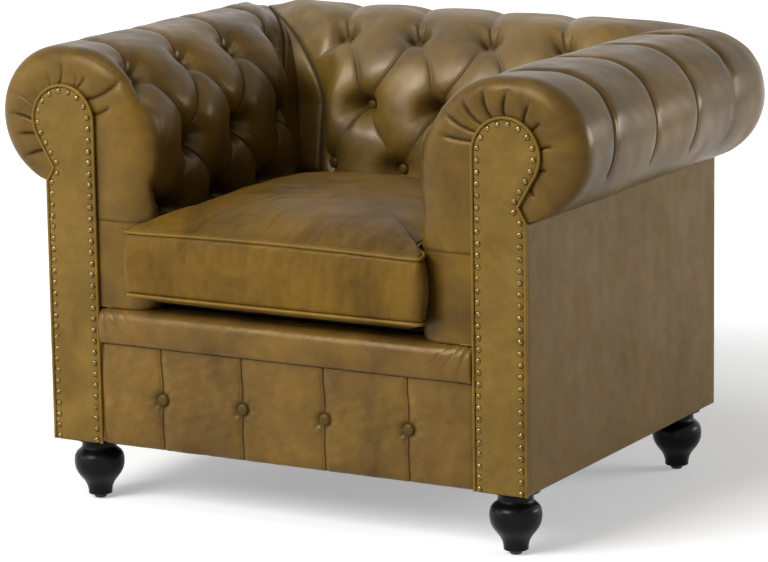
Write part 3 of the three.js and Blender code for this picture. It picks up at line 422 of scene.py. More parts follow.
def tuft_creases(first, pitch, rows, style):
    """Creases of a pad, each from a to b as (along, height), and the places of its buttons."""
    low, middle, top = rows
    creases = []

    def crease(a, b, start, end, sag=0.0, fold=(0.1, 0.8), line=1.0, thin=FOLD_LINE, twin=0.0, wide=1.0):
        creases.append({"a": a, "b": b, "start": start, "end": end, "sag": sag, "fold": fold,
                        "line": line, "thin": thin, "twin": twin, "wide": wide})

    last = LONG_ROW - 1
    for i in range(LONG_ROW):
        s = first + i * pitch
        crease((s, low), (s, SEAM), 1, 0.62, fold=(0.0, 1.0), line=0.6)
        crease((s, top), (s, top), 1, 1, line=0)
        crease((s, top), (s, top + style["pleat_length"]), style["pleat_start"], 0.03,
               fold=(0.03, style["pleat_end"]), line=style["pleat_line"], twin=style["pleat_twin"],
               wide=style["pleat_wide"])
        for a, b, line in style["wrinkles"]:
            crease((s + a[0], top + a[1]), (s + b[0], top + b[1]), 0.08, 0.0, fold=(0.0, 0.95), line=line,
                   thin=2.1, wide=0.5)
    for i in range(last):
        s = first + (i + 0.5) * pitch
        for side in (-0.5, 0.5):
            far = s + side * pitch
            shift = 0.06 * math.sin(7.0 * i + 3.0 * side + first)
            twin = 0.7 if side < 0 else 0.0
            crease((s, middle), (far, low), 1, 1, style["sag"], fold=(0.03, 0.62 + shift))
            crease((s, middle), (far, top), 1, 1, style["sag"], fold=(0.03, 0.84 + shift), line=0.9,
                   twin=twin)
    for end, side in ((0, -0.44), (last, 0.44)):
        s = first + end * pitch
        rise = (middle - low) * 0.6
        crease((s, low), (s + side * pitch, low + rise), 1, 0, line=0.5, thin=END_FOLD_LINE)
        crease((s, top), (s + side * pitch, top - 1.25 * rise), 1, 0, fold=(0.3, 1.0), line=0.8,
               thin=END_FOLD_LINE)
    buttons = [(first + i * pitch, row) for i in range(LONG_ROW) for row in (low, top)]
    buttons += [(first + (i + 0.5) * pitch, middle) for i in range(last)]
    return creases, buttons


def tuft_shape(s, h, tufts):
    """Fill from 0 under a button to 1 on a crown, how much of a fold line is there, and its lip. The fold
    value is also painted shade: dark along the crease lines and in the hollows.
    """
    creases, buttons = tufts
    hollow = np.zeros(np.broadcast(s, h).shape)
    fold = np.zeros_like(hollow)
    lip = np.zeros_like(hollow)
    for c in creases:
        run = np.subtract(c["b"], c["a"])
        square = float(run @ run)
        off_s, off_h = s - c["a"][0], h - c["a"][1]
        share = np.clip((off_s * run[0] + off_h * run[1]) / square, 0, 1) if square > 0 else 0 * off_s
        rest_s, rest_h = off_s - share * run[0], off_h - share * run[1]
        distance = np.hypot(rest_s, rest_h)
        depth = lerp(c["start"], c["end"], share) - c["sag"] * np.power(np.sin(np.pi * share), SAG_POWER)
        broad = bell(distance, VALLEY_WIDE * c["wide"], 1.6)
        tight = bell(distance, VALLEY_TIGHT * c["wide"], 1.2)
        hollow += np.power(np.maximum(depth, 0) * (0.55 * broad + 0.45 * tight), HOLLOW_BLEND)
        if c["line"] > 0 and square > 0:
            low, high = c["fold"]
            begun = smooth_step(low - 0.02, low + 0.06, share)
            strength = c["line"] * (begun * (1 - smooth_step(high - 0.3, high + 0.05, share)))
            side = np.sign(rest_s * run[1] - rest_h * run[0])
            # Painted shade along each crease line, which also dents the skin
            fold = np.maximum(fold, strength * bell(distance, c["thin"]))
            if c["twin"] > 0:
                beside = bell(np.abs(distance * side - TWIN_OFFSET), c["thin"] * 1.2)
                fold = np.maximum(fold, c["twin"] * strength * beside)
            lip = np.maximum(lip, strength * (bell(distance - FOLD_LIP_OFFSET, FOLD_LIP_WIDTH) * (side > 0)))
    for k, (bs, bh) in enumerate(buttons):
        off_s, off_h = s - bs, h - bh
        radius = np.hypot(off_s, off_h)
        angle = np.arctan2(off_h, off_s)
        rays = np.cos(11 * angle + k * 1.7) + 0.6 * np.cos(17 * angle + k * 2.9)
        lip = lip + RAY_HEIGHT * rays * bell(radius - RAY_RADIUS, RAY_WIDTH)
    fill = 1 - np.minimum(1, np.power(hollow, 1 / HOLLOW_BLEND))
    # Painted shade in the hollows round the buttons, as deep as they sink
    return fill, np.maximum(fold, VALLEY_SHADE * (1 - fill)), lip


def corner_fill(height):
    """How full a pad is at the mitre: hardly between the buttons, and fully over the roll."""
    rise = smooth_step(ROWS[1], ROWS[2] + PLEAT_LENGTH, height)
    upper = lerp(CORNER_FILL_LOW, 1, rise * rise)
    return np.where(height < SEAM, 1 - BAND_INSET / ROW_DEPTHS[0], upper)


def pivot_out(height):
    """How far out the round corner turns about. At the roll's foot the corner is square."""
    straightened = smooth_step(SKIN_LENGTH - SKIRT_FADE, SKIN_LENGTH, height)
    return lerp(ROLL_OUTER - CORNER_RADIUS, BODY_HALF, straightened)


def mitre_along(out, height, shift):
    """How far along a pad the mitre is for a point that far out, measured round the corner."""
    pivot = pivot_out(height)
    reach = out - pivot
    return pivot + shift + np.where(reach > 0, reach * math.pi / 4, reach) - GAP


def round_corner(out, along, height, shift):
    """Bends what runs past the pivot round it, so that the corner of the roll is round in plan."""
    pivot = pivot_out(height)
    reach = out - pivot
    past = along - pivot - shift
    turning = (reach > 0) & (past > 0)
    safe = np.where(turning, reach, 1.0)
    turn = np.where(turning, past / safe, 0.0)
    return (
        np.where(turning, pivot + reach * np.cos(turn), out),
        np.where(turning, pivot + shift + reach * np.sin(turn), along),
    )


def skin_offsets(skin, along, corner_along, tufts):
    """Fill, fold and lip over a grid of loops (rows) and heights (columns). The fold also carries painted
    shade down the mitre and painted shadow under the roll.
    """
    height = skin.heights[None, :]
    fill, fold, lip = tuft_shape(along, height, tufts)
    band = height < SEAM
    fill = np.where(band, 1 - BAND_INSET / ROW_DEPTHS[0], fill)
    keep = smooth_step(SEAM, SEAM + 6, height)
    fold, lip = fold * keep, lip * keep
    widening = smooth_step(ROWS[1], ROWS[2], height)
    near = smooth_step(0, CORNER_BLEND * (1 + widening), corner_along - np.abs(along))
    fill = lerp(corner_fill(height), fill, near)
    # Painted shade down the mitre between pads, which also dents the skin there
    fold = np.maximum(fold * near, 0.9 * bell(corner_along - np.abs(along), MITRE_SHADE_LINE))
    seam = 0.75 * bell(height - SEAM, SEAM_LINE)
    # Painted shadow under the roll: a dark line and a broader darkening at the skin's lower edge
    to_hem = SKIN_LENGTH - height
    hem = np.maximum(bell(to_hem, HEM_SHADOW_LINE), 0.4 * bell(to_hem, HEM_SHADE))
    fold = np.maximum(fold, np.maximum(seam, hem))
    return fill, fold, lip * near


def sunk(skin, fill, fold, lip, unevenness):
    """The skin's points moved in by what isn't filled and by the folds."""
    dip = tuft_depth(skin.heights)[None, :] * (1 - fill)
    dip = dip + FOLD_DEPTH * fold - FOLD_LIP_HEIGHT * lip - unevenness
    dip = dip + SKIN_FOOT_TUCK * np.power(1 - np.clip(skin.heights / SKIN_FOOT_HEIGHT, 0, 1), 2)[None, :]
    return skin.points[None, :, :] - skin.normals[None, :, :] * dip[:, :, None]


def core_line():
    """The hollow of the padding, from the roll's outer foot over the arch to the deck."""
    centre = BODY_HALF - ARCH_INSET
    radius = ARCH_RADIUS - CORE_INSET
    over = arc(centre, ARCH_Z, radius, radius, arch_tangent(), math.pi, 20)
    inner = FACING_INNER + CORE_INSET
    return np.concatenate([
        [[BODY_HALF - 4, SKIRT_Z], [BODY_HALF - CORE_INSET, SHOULDER_Z - 2]],
        [[BODY_HALF - NOTCH_INSET - 5, NOTCH_Z]],
        over,
        [[inner, 560.0], [inner, 480.0], [inner, 400.0], [inner, DECK]],
    ])


core = core_line()


# Gathers round the arch: place along the facing's edge, how far each bends up the nose in the
# same direction, its length as a share of the nose, and its depth
GATHERS = {
    1: ((16.8, 14, 0.72, 1.0), (30.8, 23, 0.9, 1.0), (44.8, 28, 0.84, 1.0), (63.4, 31, 0.84, 1.0),
        (83.6, 32, 0.76, 1.0), (114.7, 21, 0.6, 1.0), (132.6, 20, 0.4, 0.9), (162.0, 22, 0.42, 0.9),
        (193.6, 12, 0.25, 0.7), (225.8, 18, 0.25, 0.7)),
    -1: ((12.0, 21, 0.46, 0.9), (38.0, 23, 1.0, 1.0), (64.0, 14, 0.5, 0.6), (68.0, 22, 0.46, 0.4),
         (96.0, 18, 0.7, 0.55), (112.0, 17, 0.48, 0.35), (160.0, 24, 0.8, 0.4), (181.0, 23, 0.76, 0.9),
         (202.0, 20, 0.66, 1.0), (228.0, 17, 0.7, 1.0)),
}


def nose_phases():
    """Stations over the nose, evenly spaced as seen from the front."""
    wide = np.linspace(0, 0.93, 34)
    phases = 2 / math.pi * np.arcsin(np.power(wide, 1 / NOSE_POWER))
    return np.concatenate([phases, np.linspace(phases[-1], 1, 13)[1:]])


def nose_points(skin, phases, tufts, side):
    """The swelling front of an arm from the facing's edge (phase 0) to the roll (phase 1)."""
    phase = phases[:, None]
    turn = phase * math.pi / 2
    reach = np.linalg.norm(skin.points - skin.faces, axis=1)
    share = np.minimum(1, reach / (FACING_INNER - WELL_HALF))[None, :]
    rise = 1 - np.power(np.cos(turn), NOSE_POWER)
    along = NOSE_FRONT + NOSE_DEPTH * share * rise - NOSE_BULGE * share * np.sin(2 * turn)
    fill, fold, lip = skin_offsets(skin, along, np.full_like(along, BODY_DEPTH), tufts)
    grown = phase * phase
    body = sunk(skin, 1 - (1 - fill) * grown, fold * grown, lip * grown, 0)
    width = np.power(np.sin(turn), NOSE_POWER)
    point = skin.faces[None, :, :] * (1 - width[:, :, None]) + body * width[:, :, None]
    dip = np.zeros_like(along)
    mark = np.zeros_like(along)
    on_arch = skin.face_along[None, :] >= 0
    for place, bend, length, deep in GATHERS[side]:
        offset = skin.face_along[None, :] - place - bend * np.minimum(width / length, 1.4)
        distance = np.abs(offset)
        fade = deep * (1 - smooth_step(length * 0.6, length * 1.05, width))
        line = bell(distance, FOLD_LINE) * fade
        wide = bell(distance, GATHER_VALLEY, 1.2) * fade
        ridge = bell(offset - GATHER_RIDGE_OFFSET, GATHER_RIDGE) * fade
        gather = GATHER_DEPTH * line + GATHER_DEPTH * wide
        dip = np.where(on_arch, np.maximum(dip, gather) - 0.5 * ridge, dip)
        # Painted shade along each gather's line, which also dents the nose
        mark = np.maximum(mark, np.where(on_arch, line, 0))
    seam = bell(skin.heights[None, :] - SEAM, SEAM_LINE) * (1 - grown)
    dip = dip * np.minimum(1, share * 1.6) + seam * 0.9
    point = point - skin.normals[None, :, :] * 0.3 * dip[:, :, None]
    depth = along + 0.9 * dip * np.power(np.cos(turn), 0.5)
    return point, depth, np.maximum(fold * grown, np.maximum(mark, 0.7 * seam))


def mitre_lines(skin, shift):
    """Where a pad meets the mitre: with its skin sunk in as it is there, and with it unsunk."""
    depth = tuft_depth(skin.heights) * (1 - corner_fill(skin.heights))
    corner = skin.points - skin.normals * depth[:, None]
    return tuple(mitre_along(points[:, 0], skin.heights, shift) for points in (corner, skin.points))


def tufted(skin, along, places, corner_along, tufts, seed):
    """The skin's points with their tufting, still unbent, and their folds."""
    fill, fold, lip = skin_offsets(skin, along, corner_along[None, :], tufts)
    above_seam = smooth_step(SEAM, ROWS[0], skin.heights)[None, :]
    rough = SKIN_ROUGH * wave(places, seed, SKIN_ROUGH_SIZE) * above_seam
    return sunk(skin, fill, fold, lip, rough), fold


def repeated(values, count):
    """The values down a grid's first column, the same across all its columns."""
    return np.repeat(values[:, None], count, axis=1)


def arm_padding(side, seed):
    """Loops of an arm pad from front to rear, the folds of its skin with their painted shade, and its
    buttons' places.
    """
    skin = arm_skin
    tufts = tuft_creases(ARM_FIRST, ARM_PITCH, ROWS, ARM_STYLE)
    phases = nose_phases()
    nose, depth, nose_fold = nose_points(skin, phases, tufts, side)
    last_straight = ARM_FIRST + ARM_PITCH * (LONG_ROW - 1) - ARM_PITCH / 6
    straight = np.arange(ARM_FIRST, last_straight + 0.01, ARM_PITCH / 2 / STEPS)
    ends = np.linspace(0, 1, STEPS + 10)[1:, None]
    lead = np.linspace(0, 1, 14)[1:-1, None]
    mitre, corner_along = mitre_lines(skin, MITRE_SHIFT)
    along = np.concatenate([
        lerp(depth[-1][None, :], ARM_FIRST, lead),
        repeated(straight, len(skin.heights)),
        lerp(straight[-1], mitre[None, :], ends),
    ])
    places = spread(skin.points[:, 0], along, skin.points[:, 1])
    body, fold = tufted(skin, along, places, corner_along, tufts, seed)
    moved = along + arm_drift(skin, along, corner_along[None, :])
    out, back = round_corner(body[:, :, 0], moved, skin.heights[None, :], MITRE_SHIFT)
    skin_points = np.concatenate([
        spread(nose[:, :, 0], depth, nose[:, :, 1]),
        spread(out, back, body[:, :, 1]),
    ])
    core_along = np.concatenate([
        repeated(NOSE_FRONT + 3 * phases, len(core)),
        lerp(NOSE_FRONT + 3, ARM_FIRST, lead) * np.ones(len(core)),
        repeated(straight, len(core)),
        lerp(straight[-1], (core[:, 0] + MITRE_SHIFT - GAP)[None, :], ends),
    ])
    loops = np.concatenate([skin_points, spread(core[:, 0], core_along, core[:, 1])], axis=1)
    if side < 0:
        loops = mirrored(loops)
    return loops, np.concatenate([nose_fold, fold]), tufts[1]


def arm_drift(skin, along, corner_along):
    """How far the pleats of an arm run back as they cross the roll."""
    drift = np.interp(skin.heights, (396, 430, 480, 540, 600, 660, 790), (0, 6, 30, 50, 55, 44, 20))
    near_corner = smooth_step(0, ARM_DRIFT_FADE, corner_along - along)
    return drift[None, :] * near_corner * smooth_step(46, 110, along + 30)


def back_drift(skin, along, corner_along):
    """How far the creases of the back bow to one side between the buttons."""
    low, middle, top = skin.rows
    heights = (low, (low + middle) / 2, middle, (middle + top) / 2, top, top + 50, top + 110, top + 200)
    drift = np.interp(skin.heights, heights, (0, 12, 0, 20, 0, -12, -32, -34))
    window = np.hanning(17)
    soft = np.convolve(np.pad(drift, 7, mode="edge"), window[1:-1] / window.sum(), "valid")
    return soft[None, :] * smooth_step(0, BACK_DRIFT_FADE, corner_along - np.abs(along))


def back_lean(skin, along):
    """How much the back leans to the rear, which fades out over its crown and at its sides."""
    low_row = DECK + ROWS[0]
    slope = LEAN / (LEAN_ZERO_Z - low_row)
    lean = np.minimum(LEAN, (LEAN_ZERO_Z - skin.points[:, 1]) * slope)[None, :]
    crown = 1 - smooth_step(ROWS[2], ROWS[2] + SHOULDER_RADIUS, skin.heights)[None, :]
    middle = smooth_step(0, BACK_PITCH / 2, skin.points[:, 0][None, :] - np.abs(along))
    return lean * crown * middle


def back_padding(seed):
    """Loops of the back pad from left to right, the folds of its skin with their painted shade, and its
    buttons' places.
    """
    skin = back_skin
    half = BACK_PITCH * (LONG_ROW - 1) / 2
    tufts = tuft_creases(-half, BACK_PITCH, skin.rows, BACK_STYLE)
    straight = np.arange(-half, half + 0.01, BACK_PITCH / 2 / STEPS)
    ends = np.linspace(0, 1, STEPS + 16)[1:, None]
    mitre, corner_along = mitre_lines(skin, 0)
    right = lerp(half, mitre[None, :], ends)
    along = np.concatenate([-right[::-1], repeated(straight, len(skin.heights)), right])
    places = spread(along, skin.points[:, 0], skin.points[:, 1])
    body, fold = tufted(skin, along, places, corner_along, tufts, seed)
    moved = along + back_drift(skin, along, corner_along[None, :])
    out, reach = round_corner(body[:, :, 0], np.abs(moved), skin.heights[None, :], 0)
    depth = out + MITRE_SHIFT - back_lean(skin, along)
    core_right = lerp(half, (core[:, 0] - GAP)[None, :], ends)
    core_along = np.concatenate([-core_right[::-1], repeated(straight, len(core)), core_right])
    loops = np.concatenate([
        spread(np.sign(moved) * reach, depth, body[:, :, 1]),
        spread(core_along, core[:, 0] + MITRE_SHIFT, core[:, 1]),
    ], axis=1)
    return loops, fold, tufts[1]


# Buttons


def dome_points(radius, height, rings=7, sides=24, shoulder=0.55):
    """A covered button that looks along +Z, from its flat back over a rounded rim to its crown."""
    profile = [(0.8 * radius, -0.35 * height), (radius, 0.05 * height)]
    for k in range(1, rings):
        turn = k / rings * math.pi / 2
        profile.append((radius * math.cos(turn) ** shoulder, height * math.sin(turn)))
    turn = 2 * math.pi * np.arange(sides) / sides
    points = np.array([(r * math.cos(a), r * math.sin(a), z) for r, z in profile for a in turn])
    points = np.concatenate([points, [[0, 0, -0.35 * height], [0, 0, height]]])
    ring = np.arange(sides)
    bottom = fan(ring, len(points) - 2)[:, [1, 0, 2]]
    top = fan((len(profile) - 1) * sides + ring, len(points) - 1)
    return points, np.concatenate([divided(points, ring_faces(len(profile), sides)), bottom, top])


def frame_along(direction):
    """Axes whose third column is the direction."""
    z = np.asarray(direction, float)
    z = z / np.linalg.norm(z)
    x = np.cross([0.0, 0.0, 1.0], z) if abs(z[2]) < 0.9 else np.cross([0.0, 1.0, 0.0], z)
    x = x / np.linalg.norm(x)
    return np.stack([x, np.cross(z, x), z], axis=-1)


def copies(shape, faces, places):
    """One mesh of copies of a shape. places holds (point, direction, scale)."""
    points, triangles = [], []
    for k, (place, direction, scale) in enumerate(places):
        points.append(shape * scale @ frame_along(direction).T + np.asarray(place))
        triangles.append(faces + k * len(shape))
    return np.concatenate(points), np.concatenate(triangles)


TUFT_BUTTON_RADIUS = 9.8
TUFT_BUTTON_HEIGHT = 7.5
TUFT_BUTTON_LIFT = 1.5


def tuft_buttons(name, skin, buttons, place, side=1):
    """All the covered buttons of a pad, each looking the way its skin does."""
    shape, faces = dome_points(TUFT_BUTTON_RADIUS, TUFT_BUTTON_HEIGHT)
    places = []
    for s, h in buttons:
        k = int(np.argmin(np.abs(skin.heights - h)))
        seat = skin.points[k] - skin.normals[k] * (tuft_depth(h) - TUFT_BUTTON_LIFT)
        ahead = seat + skin.normals[k]
        point = place(seat[0], s, seat[1], k)
        direction = place(ahead[0], s, ahead[1], k) - point
        places.append((point * np.array([side, 1, 1]), direction * np.array([side, 1, 1]), 1.0))
    add_mesh(name, *copies(shape, faces, places), button_hide)


def arm_place(out, along, height, k):
    """A skin place as a point in the chair's axes."""
    return np.array([out, along, height])


def back_place(out, along, height, k):
    """As arm_place, for the back, which runs across and leans. k is the height's number in the skin."""
    lean = back_lean(back_skin, np.array([[along]]))[0, k]
    return np.array([along, out + MITRE_SHIFT - lean, height])


# Materials


class Shader:
    """A short way to write a material's nodes. An input takes a value, a colour or another output."""

    def __init__(self, name):
        self.material = bpy.data.materials.new(name)
        self.material.use_nodes = True
        self.tree = self.material.node_tree
        self.bsdf = self.tree.nodes["Principled BSDF"]
        self.where = self.tree.nodes.new("ShaderNodeTexCoord").outputs["Object"]

    def set(self, **values):
        for key, value in values.items():
            self.bsdf.inputs[key.replace("_", " ")].default_value = value

    def add(self, kind, **inputs):
        """A new node with values or links on its inputs."""
        node = self.tree.nodes.new("ShaderNode" + kind)
        for key, value in inputs.items():
            self.put(value, node.inputs[key])
        return node

    def put(self, value, socket):
        if isinstance(value, bpy.types.NodeSocket):
            self.tree.links.new(value, socket)
        elif hasattr(value, "__len__"):
            socket.default_value = (*value, 1)[:len(socket.default_value)]
        else:
            socket.default_value = value

    def noise(self, scale, detail=4.0, roughness=0.55, stretch=None, distortion=0.0):
        where = self.where
        if stretch is not None:
            where = self.add("Mapping", Scale=stretch, Vector=where).outputs["Vector"]
        node = self.add("TexNoise", Scale=scale, Detail=detail, Roughness=roughness, Distortion=distortion,
                        Vector=where)
        return node.outputs["Fac"]

    def cells(self, scale, feature="F1"):
        node = self.add("TexVoronoi", Scale=scale, Vector=self.where)
        node.feature = feature
        return node.outputs["Distance"]

    def mark(self, name):
        node = self.add("Attribute")
        node.attribute_name = name
        return node.outputs["Fac"]

    def ramp(self, value, stops):
        node = self.add("ValToRGB", Fac=value)
        while len(node.color_ramp.elements) < len(stops):
            node.color_ramp.elements.new(0.5)
        for element, (place, color) in zip(node.color_ramp.elements, stops):
            element.position = place
            element.color = (*color, 1) if hasattr(color, "__len__") else (color, color, color, 1)
        return node.outputs["Color"]

    def mix(self, share, a, b, kind="MIX"):
        node = self.add("Mix")
        node.data_type = "RGBA"
        node.blend_type = kind
        for socket, value in (("Factor", share), ("A", a), ("B", b)):
            self.put(value, node.inputs[socket])
        return node.outputs["Result"]

    def math(self, kind, a, b=0.0, clamp=False):
        node = self.add("Math")
        node.operation = kind
        node.use_clamp = clamp
        self.put(a, node.inputs[0])
        self.put(b, node.inputs[1])
        return node.outputs["Value"]

    def bump(self, height, strength, distance, below=None):
        node = self.add("Bump", Strength=strength, Distance=distance, Height=height)
        if below is not None:
            self.put(below, node.inputs["Normal"])
        return node.outputs["Normal"]

    def finish(self, color=None, roughness=None, normal=None):
        for value, socket in ((color, "Base Color"), (roughness, "Roughness"), (normal, "Normal")):
            if value is not None:
                self.tree.links.new(value, self.bsdf.inputs[socket])
        return self.material


def leather(name, dark, mid, gold, gloss, sheen_patch=0.5, folds=True, grain=0.12, shine=0.33,
            tint=(1.0, 0.76, 0.44)):
    """Aged pull-up leather: soft golden and brown clouds, streaks, painted shade in the folds and fine
    grain.
    """
    s = Shader(name)
    clouds = s.noise(9.0, 4.0, 0.55, distortion=0.6)
    base = s.ramp(clouds, [(0.3, dark), (0.5, mid), (0.7, gold)])
    streaks = s.noise(9.0, 5.0, 0.6, stretch=(1.0, 1.0, 0.25), distortion=0.4)
    base = s.mix(s.ramp(streaks, [(0.4, 0.0), (0.75, sheen_patch)]), base, gold)
    mottle = s.noise(45.0, 6.0, 0.7)
    tone = s.ramp(mottle, [(0.3, 0.82), (0.7, 1.12)])
    color = s.mix(1.0, base, tone, "MULTIPLY")
    pores = s.cells(900.0)
    color = s.mix(s.ramp(pores, [(0.0, 0.22), (0.35, 0.0)]), color, dark)
    # Painted shade: the fold value darkens the colour in creases, hollows, down the mitre and under the roll
    if folds:
        fold = s.mark("fold")
        color = s.mix(s.math("MULTIPLY", fold, 0.9, True), color, [0.16 * c for c in dark])
    rough = s.noise(14.0, 4.0, 0.6)
    roughness = s.ramp(rough, [(0.3, gloss - 0.05), (0.7, gloss + 0.09)])
    if folds:
        roughness = s.mix(s.ramp(fold, [(0.3, 0.0), (0.7, 1.0)]), roughness, (0.95, 0.95, 0.95))
    wrinkles = s.noise(46.0, 6.0, 0.6, distortion=0.8)
    normal = s.bump(wrinkles, 0.1, 0.002)
    fine = s.cells(620.0, "SMOOTH_F1")
    normal = s.bump(fine, grain, 0.0006, normal)
    s.set(IOR=1.46, Specular_IOR_Level=shine, Specular_Tint=(*tint, 1.0))
    return s.finish(color, roughness, normal)


hide = leather(
    "padding_leather", (0.046, 0.024, 0.006), (0.098, 0.054, 0.011), (0.156, 0.086, 0.011), 0.31, shine=0.28)
# A lighter copy of the padding leather: painted light on the back
back_hide = leather(
    "back_leather", (0.064, 0.035, 0.008), (0.124, 0.072, 0.015), (0.186, 0.108, 0.015), 0.4,
    shine=0.7, tint=(1.0, 0.88, 0.72))
front_hide = leather(
    "front_leather", (0.066, 0.036, 0.008), (0.123, 0.067, 0.014), (0.180, 0.098, 0.018), 0.29, shine=0.36)
panel_hide = leather(
    "panel_leather", (0.116, 0.071, 0.019), (0.132, 0.080, 0.022), (0.150, 0.090, 0.021), 0.46,
    0.35, folds=False, shine=0.18)
cushion_hide = leather(
    "cushion_leather", (0.078, 0.041, 0.007), (0.124, 0.067, 0.011), (0.172, 0.094, 0.012), 0.34, shine=0.15)
# A lighter copy of the leather, which paints a highlight along the welts
piping_hide = leather(
    "piping_leather", (0.100, 0.056, 0.008), (0.150, 0.085, 0.010), (0.200, 0.114, 0.012), 0.36, folds=False)
button_hide = leather(
    "button_leather", (0.036, 0.020, 0.004), (0.066, 0.037, 0.006), (0.100, 0.056, 0.007), 0.34, folds=False)
matte_hide = leather(
    "facing_leather", (0.114, 0.068, 0.013), (0.153, 0.091, 0.018), (0.184, 0.109, 0.021), 0.66,
    0.3, folds=False, grain=0.5)


def hard(name, noise, colors, rough, bump=None, **inputs):
    """A material whose colour, roughness and bumps all follow one noise."""
    s = Shader(name)
    grain = s.noise(**noise)
    s.set(**inputs)
    normal = s.bump(grain, *bump) if bump else None
    return s.finish(s.ramp(grain, colors), s.ramp(grain, [(0.3, rough[0]), (0.7, rough[1])]), normal)


def timber(name, pale, dark, rings):
    """Wood with wavy rings and fine upright fibres."""
    s = Shader(name)
    grain = s.noise(rings, 8.0, 0.65, stretch=(0.25, 0.25, 0.25), distortion=2.2)
    color = s.ramp(grain, [(0.35, dark), (0.6, pale)])
    fibre = s.noise(240.0, 4.0, 0.6, stretch=(1.0, 1.0, 0.08))
    color = s.mix(0.25, color, s.ramp(fibre, [(0.3, 0.35), (0.7, 0.9)]), "MULTIPLY")
    roughness = s.ramp(fibre, [(0.3, 0.62), (0.7, 0.8)])
    return s.finish(color, roughness, s.bump(fibre, 0.12, 0.0006))


def cloth(name, thread, gap, scale):
    """Plain weave: stretched noise one way over stretched noise the other way."""
    s = Shader(name)
    over = s.noise(scale, 2.0, 0.5, stretch=(1.0, 0.12, 0.12))
    under = s.noise(scale, 2.0, 0.5, stretch=(0.12, 1.0, 0.12))
    weave = s.math("MAXIMUM", over, under)
    color = s.ramp(weave, [(0.45, gap), (0.65, thread)])
    s.set(Sheen_Weight=0.2)
    return s.finish(color, s.ramp(weave, [(0.3, 0.8), (0.7, 0.95)]), s.bump(weave, 0.3, 0.0005))


brass_finish = hard(
    "antique_brass", {"scale": 300.0, "roughness": 0.6},
    [(0.35, (0.055, 0.034, 0.012)), (0.65, (0.26, 0.175, 0.068))], (0.2, 0.34), Metallic=1.0)
lacquer_finish = hard(
    "black_lacquer", {"scale": 40.0, "detail": 6.0, "roughness": 0.6, "stretch": (1.0, 1.0, 0.12)},
    [(0.3, (0.003, 0.0025, 0.003)), (0.7, (0.006, 0.005, 0.0055))], (0.22, 0.34), (0.05, 0.0005),
    IOR=1.5, Specular_IOR_Level=0.11)
wire = hard(
    "spring_steel", {"scale": 180.0, "detail": 5.0, "roughness": 0.6, "stretch": (1.0, 0.2, 1.0)},
    [(0.3, (0.30, 0.29, 0.28)), (0.7, (0.52, 0.51, 0.5))], (0.28, 0.5), Metallic=1.0)
glide_finish = hard(
    "glide_nylon", {"scale": 320.0, "roughness": 0.6},
    [(0.3, (0.018, 0.018, 0.018)), (0.7, (0.035, 0.035, 0.035))], (0.45, 0.65), (0.08, 0.0004))
beech = timber("sawn_beech", (0.56, 0.37, 0.20), (0.42, 0.26, 0.13), 22.0)
birch_ply = timber("birch_plywood", (0.50, 0.34, 0.19), (0.34, 0.21, 0.11), 34.0)
cambric = cloth("black_cambric", (0.02, 0.02, 0.02), (0.006, 0.006, 0.006), 900.0)
deck_cloth = cloth("platform_cloth", (0.035, 0.028, 0.02), (0.012, 0.009, 0.006), 700.0)

# Pads

SIDES = ((-1, "left"), (1, "right"))

for side, word in SIDES:
    loops, fold, buttons = arm_padding(side, 17 + 6 * side)
    folded_cover(f"{word}_arm_cover", loops, fold, hide, f"{word}_arm_pad", PAD_FILL)
    tuft_buttons(f"{word}_arm_buttons", arm_skin, buttons, arm_place, side)
loops, fold, buttons = back_padding(37)
folded_cover("back_cover", loops, fold, back_hide, "back_pad", PAD_FILL)
tuft_buttons("back_buttons", back_skin, buttons, back_place)

# Facings, their welts and their nails

FACING_PUFF = 0.9
FACING_PUFF_REACH = 22.0
FACING_UNEVEN = 0.5
FACING_SET_IN = 0.4
FACING_TURN_IN = 2.0
FACING_TURN_REACH = 2.6


def facing_outline(inset):
    """From the inner foot over the arch to the outer foot, moved inwards by the inset."""
    stem = np.stack([np.full(200, FACING_INNER), np.linspace(UNDERSIDE, ARCH_Z, 200)], axis=-1)
    flank = np.stack([np.full(160, BODY_HALF), np.linspace(SHOULDER_Z, UNDERSIDE, 160)], axis=-1)
    line = Line(np.concatenate([stem[:-1], face_high.points, flank[1:]]))
    along = np.linspace(0, line.length, 900)
    points = line.at(along)
    moved = points - inset * quarter_turned(line.ahead(along))
    keep = np.ones(len(moved), bool)
    if inset > 0:
        apart = moved[:, None, :] - points[None, ::3, :]
        keep = np.sqrt((apart ** 2).sum(-1)).min(axis=1) > inset - 0.05
    moved = moved[keep]
    moved[0, 1] = moved[-1, 1] = UNDERSIDE
    return moved


def facing_grids(seed):
    """The upholstered plate's front, which swells a little and turns back at the welt, and its back."""
    rim = facing_outline(WELT_RADIUS + 0.1)
    top = int(np.argmax(rim[:, 1]))
    left, right = rim[:top + 1], rim[top:][::-1]
    levels = np.concatenate([
        np.linspace(UNDERSIDE, ARCH_Z, 150)[:-1],
        ARCH_Z + (rim[top, 1] - 0.02 - ARCH_Z) * np.sin(np.linspace(0, math.pi / 2, 50)),
    ])
    across = (1 - np.cos(np.linspace(0, math.pi, 34))) / 2
    low = np.interp(levels, left[:, 1], left[:, 0])
    high = np.interp(levels, right[:, 1], right[:, 0])
    x = low[:, None] + (high - low)[:, None] * across
    z = repeated(levels, len(across))
    gap = np.min([np.hypot(x - a, z - b) for a, b in rim[::4]], axis=0)
    uneven = FACING_UNEVEN * wave(spread(x, 0.0, z), seed, 90)
    puff = FACING_PUFF * (1 - bell(gap, FACING_PUFF_REACH, 1)) + uneven
    front = FACING_TURN_IN * bell(gap, FACING_TURN_REACH, 1) - puff + FACING_SET_IN
    return spread(x, front, z), spread(x, FACING_THICKNESS, z)


def sheet(front, back):
    """A closed skin from a grid of points in front and one behind."""
    return closed_from_loops(np.concatenate([front, back[:, ::-1]], axis=1))


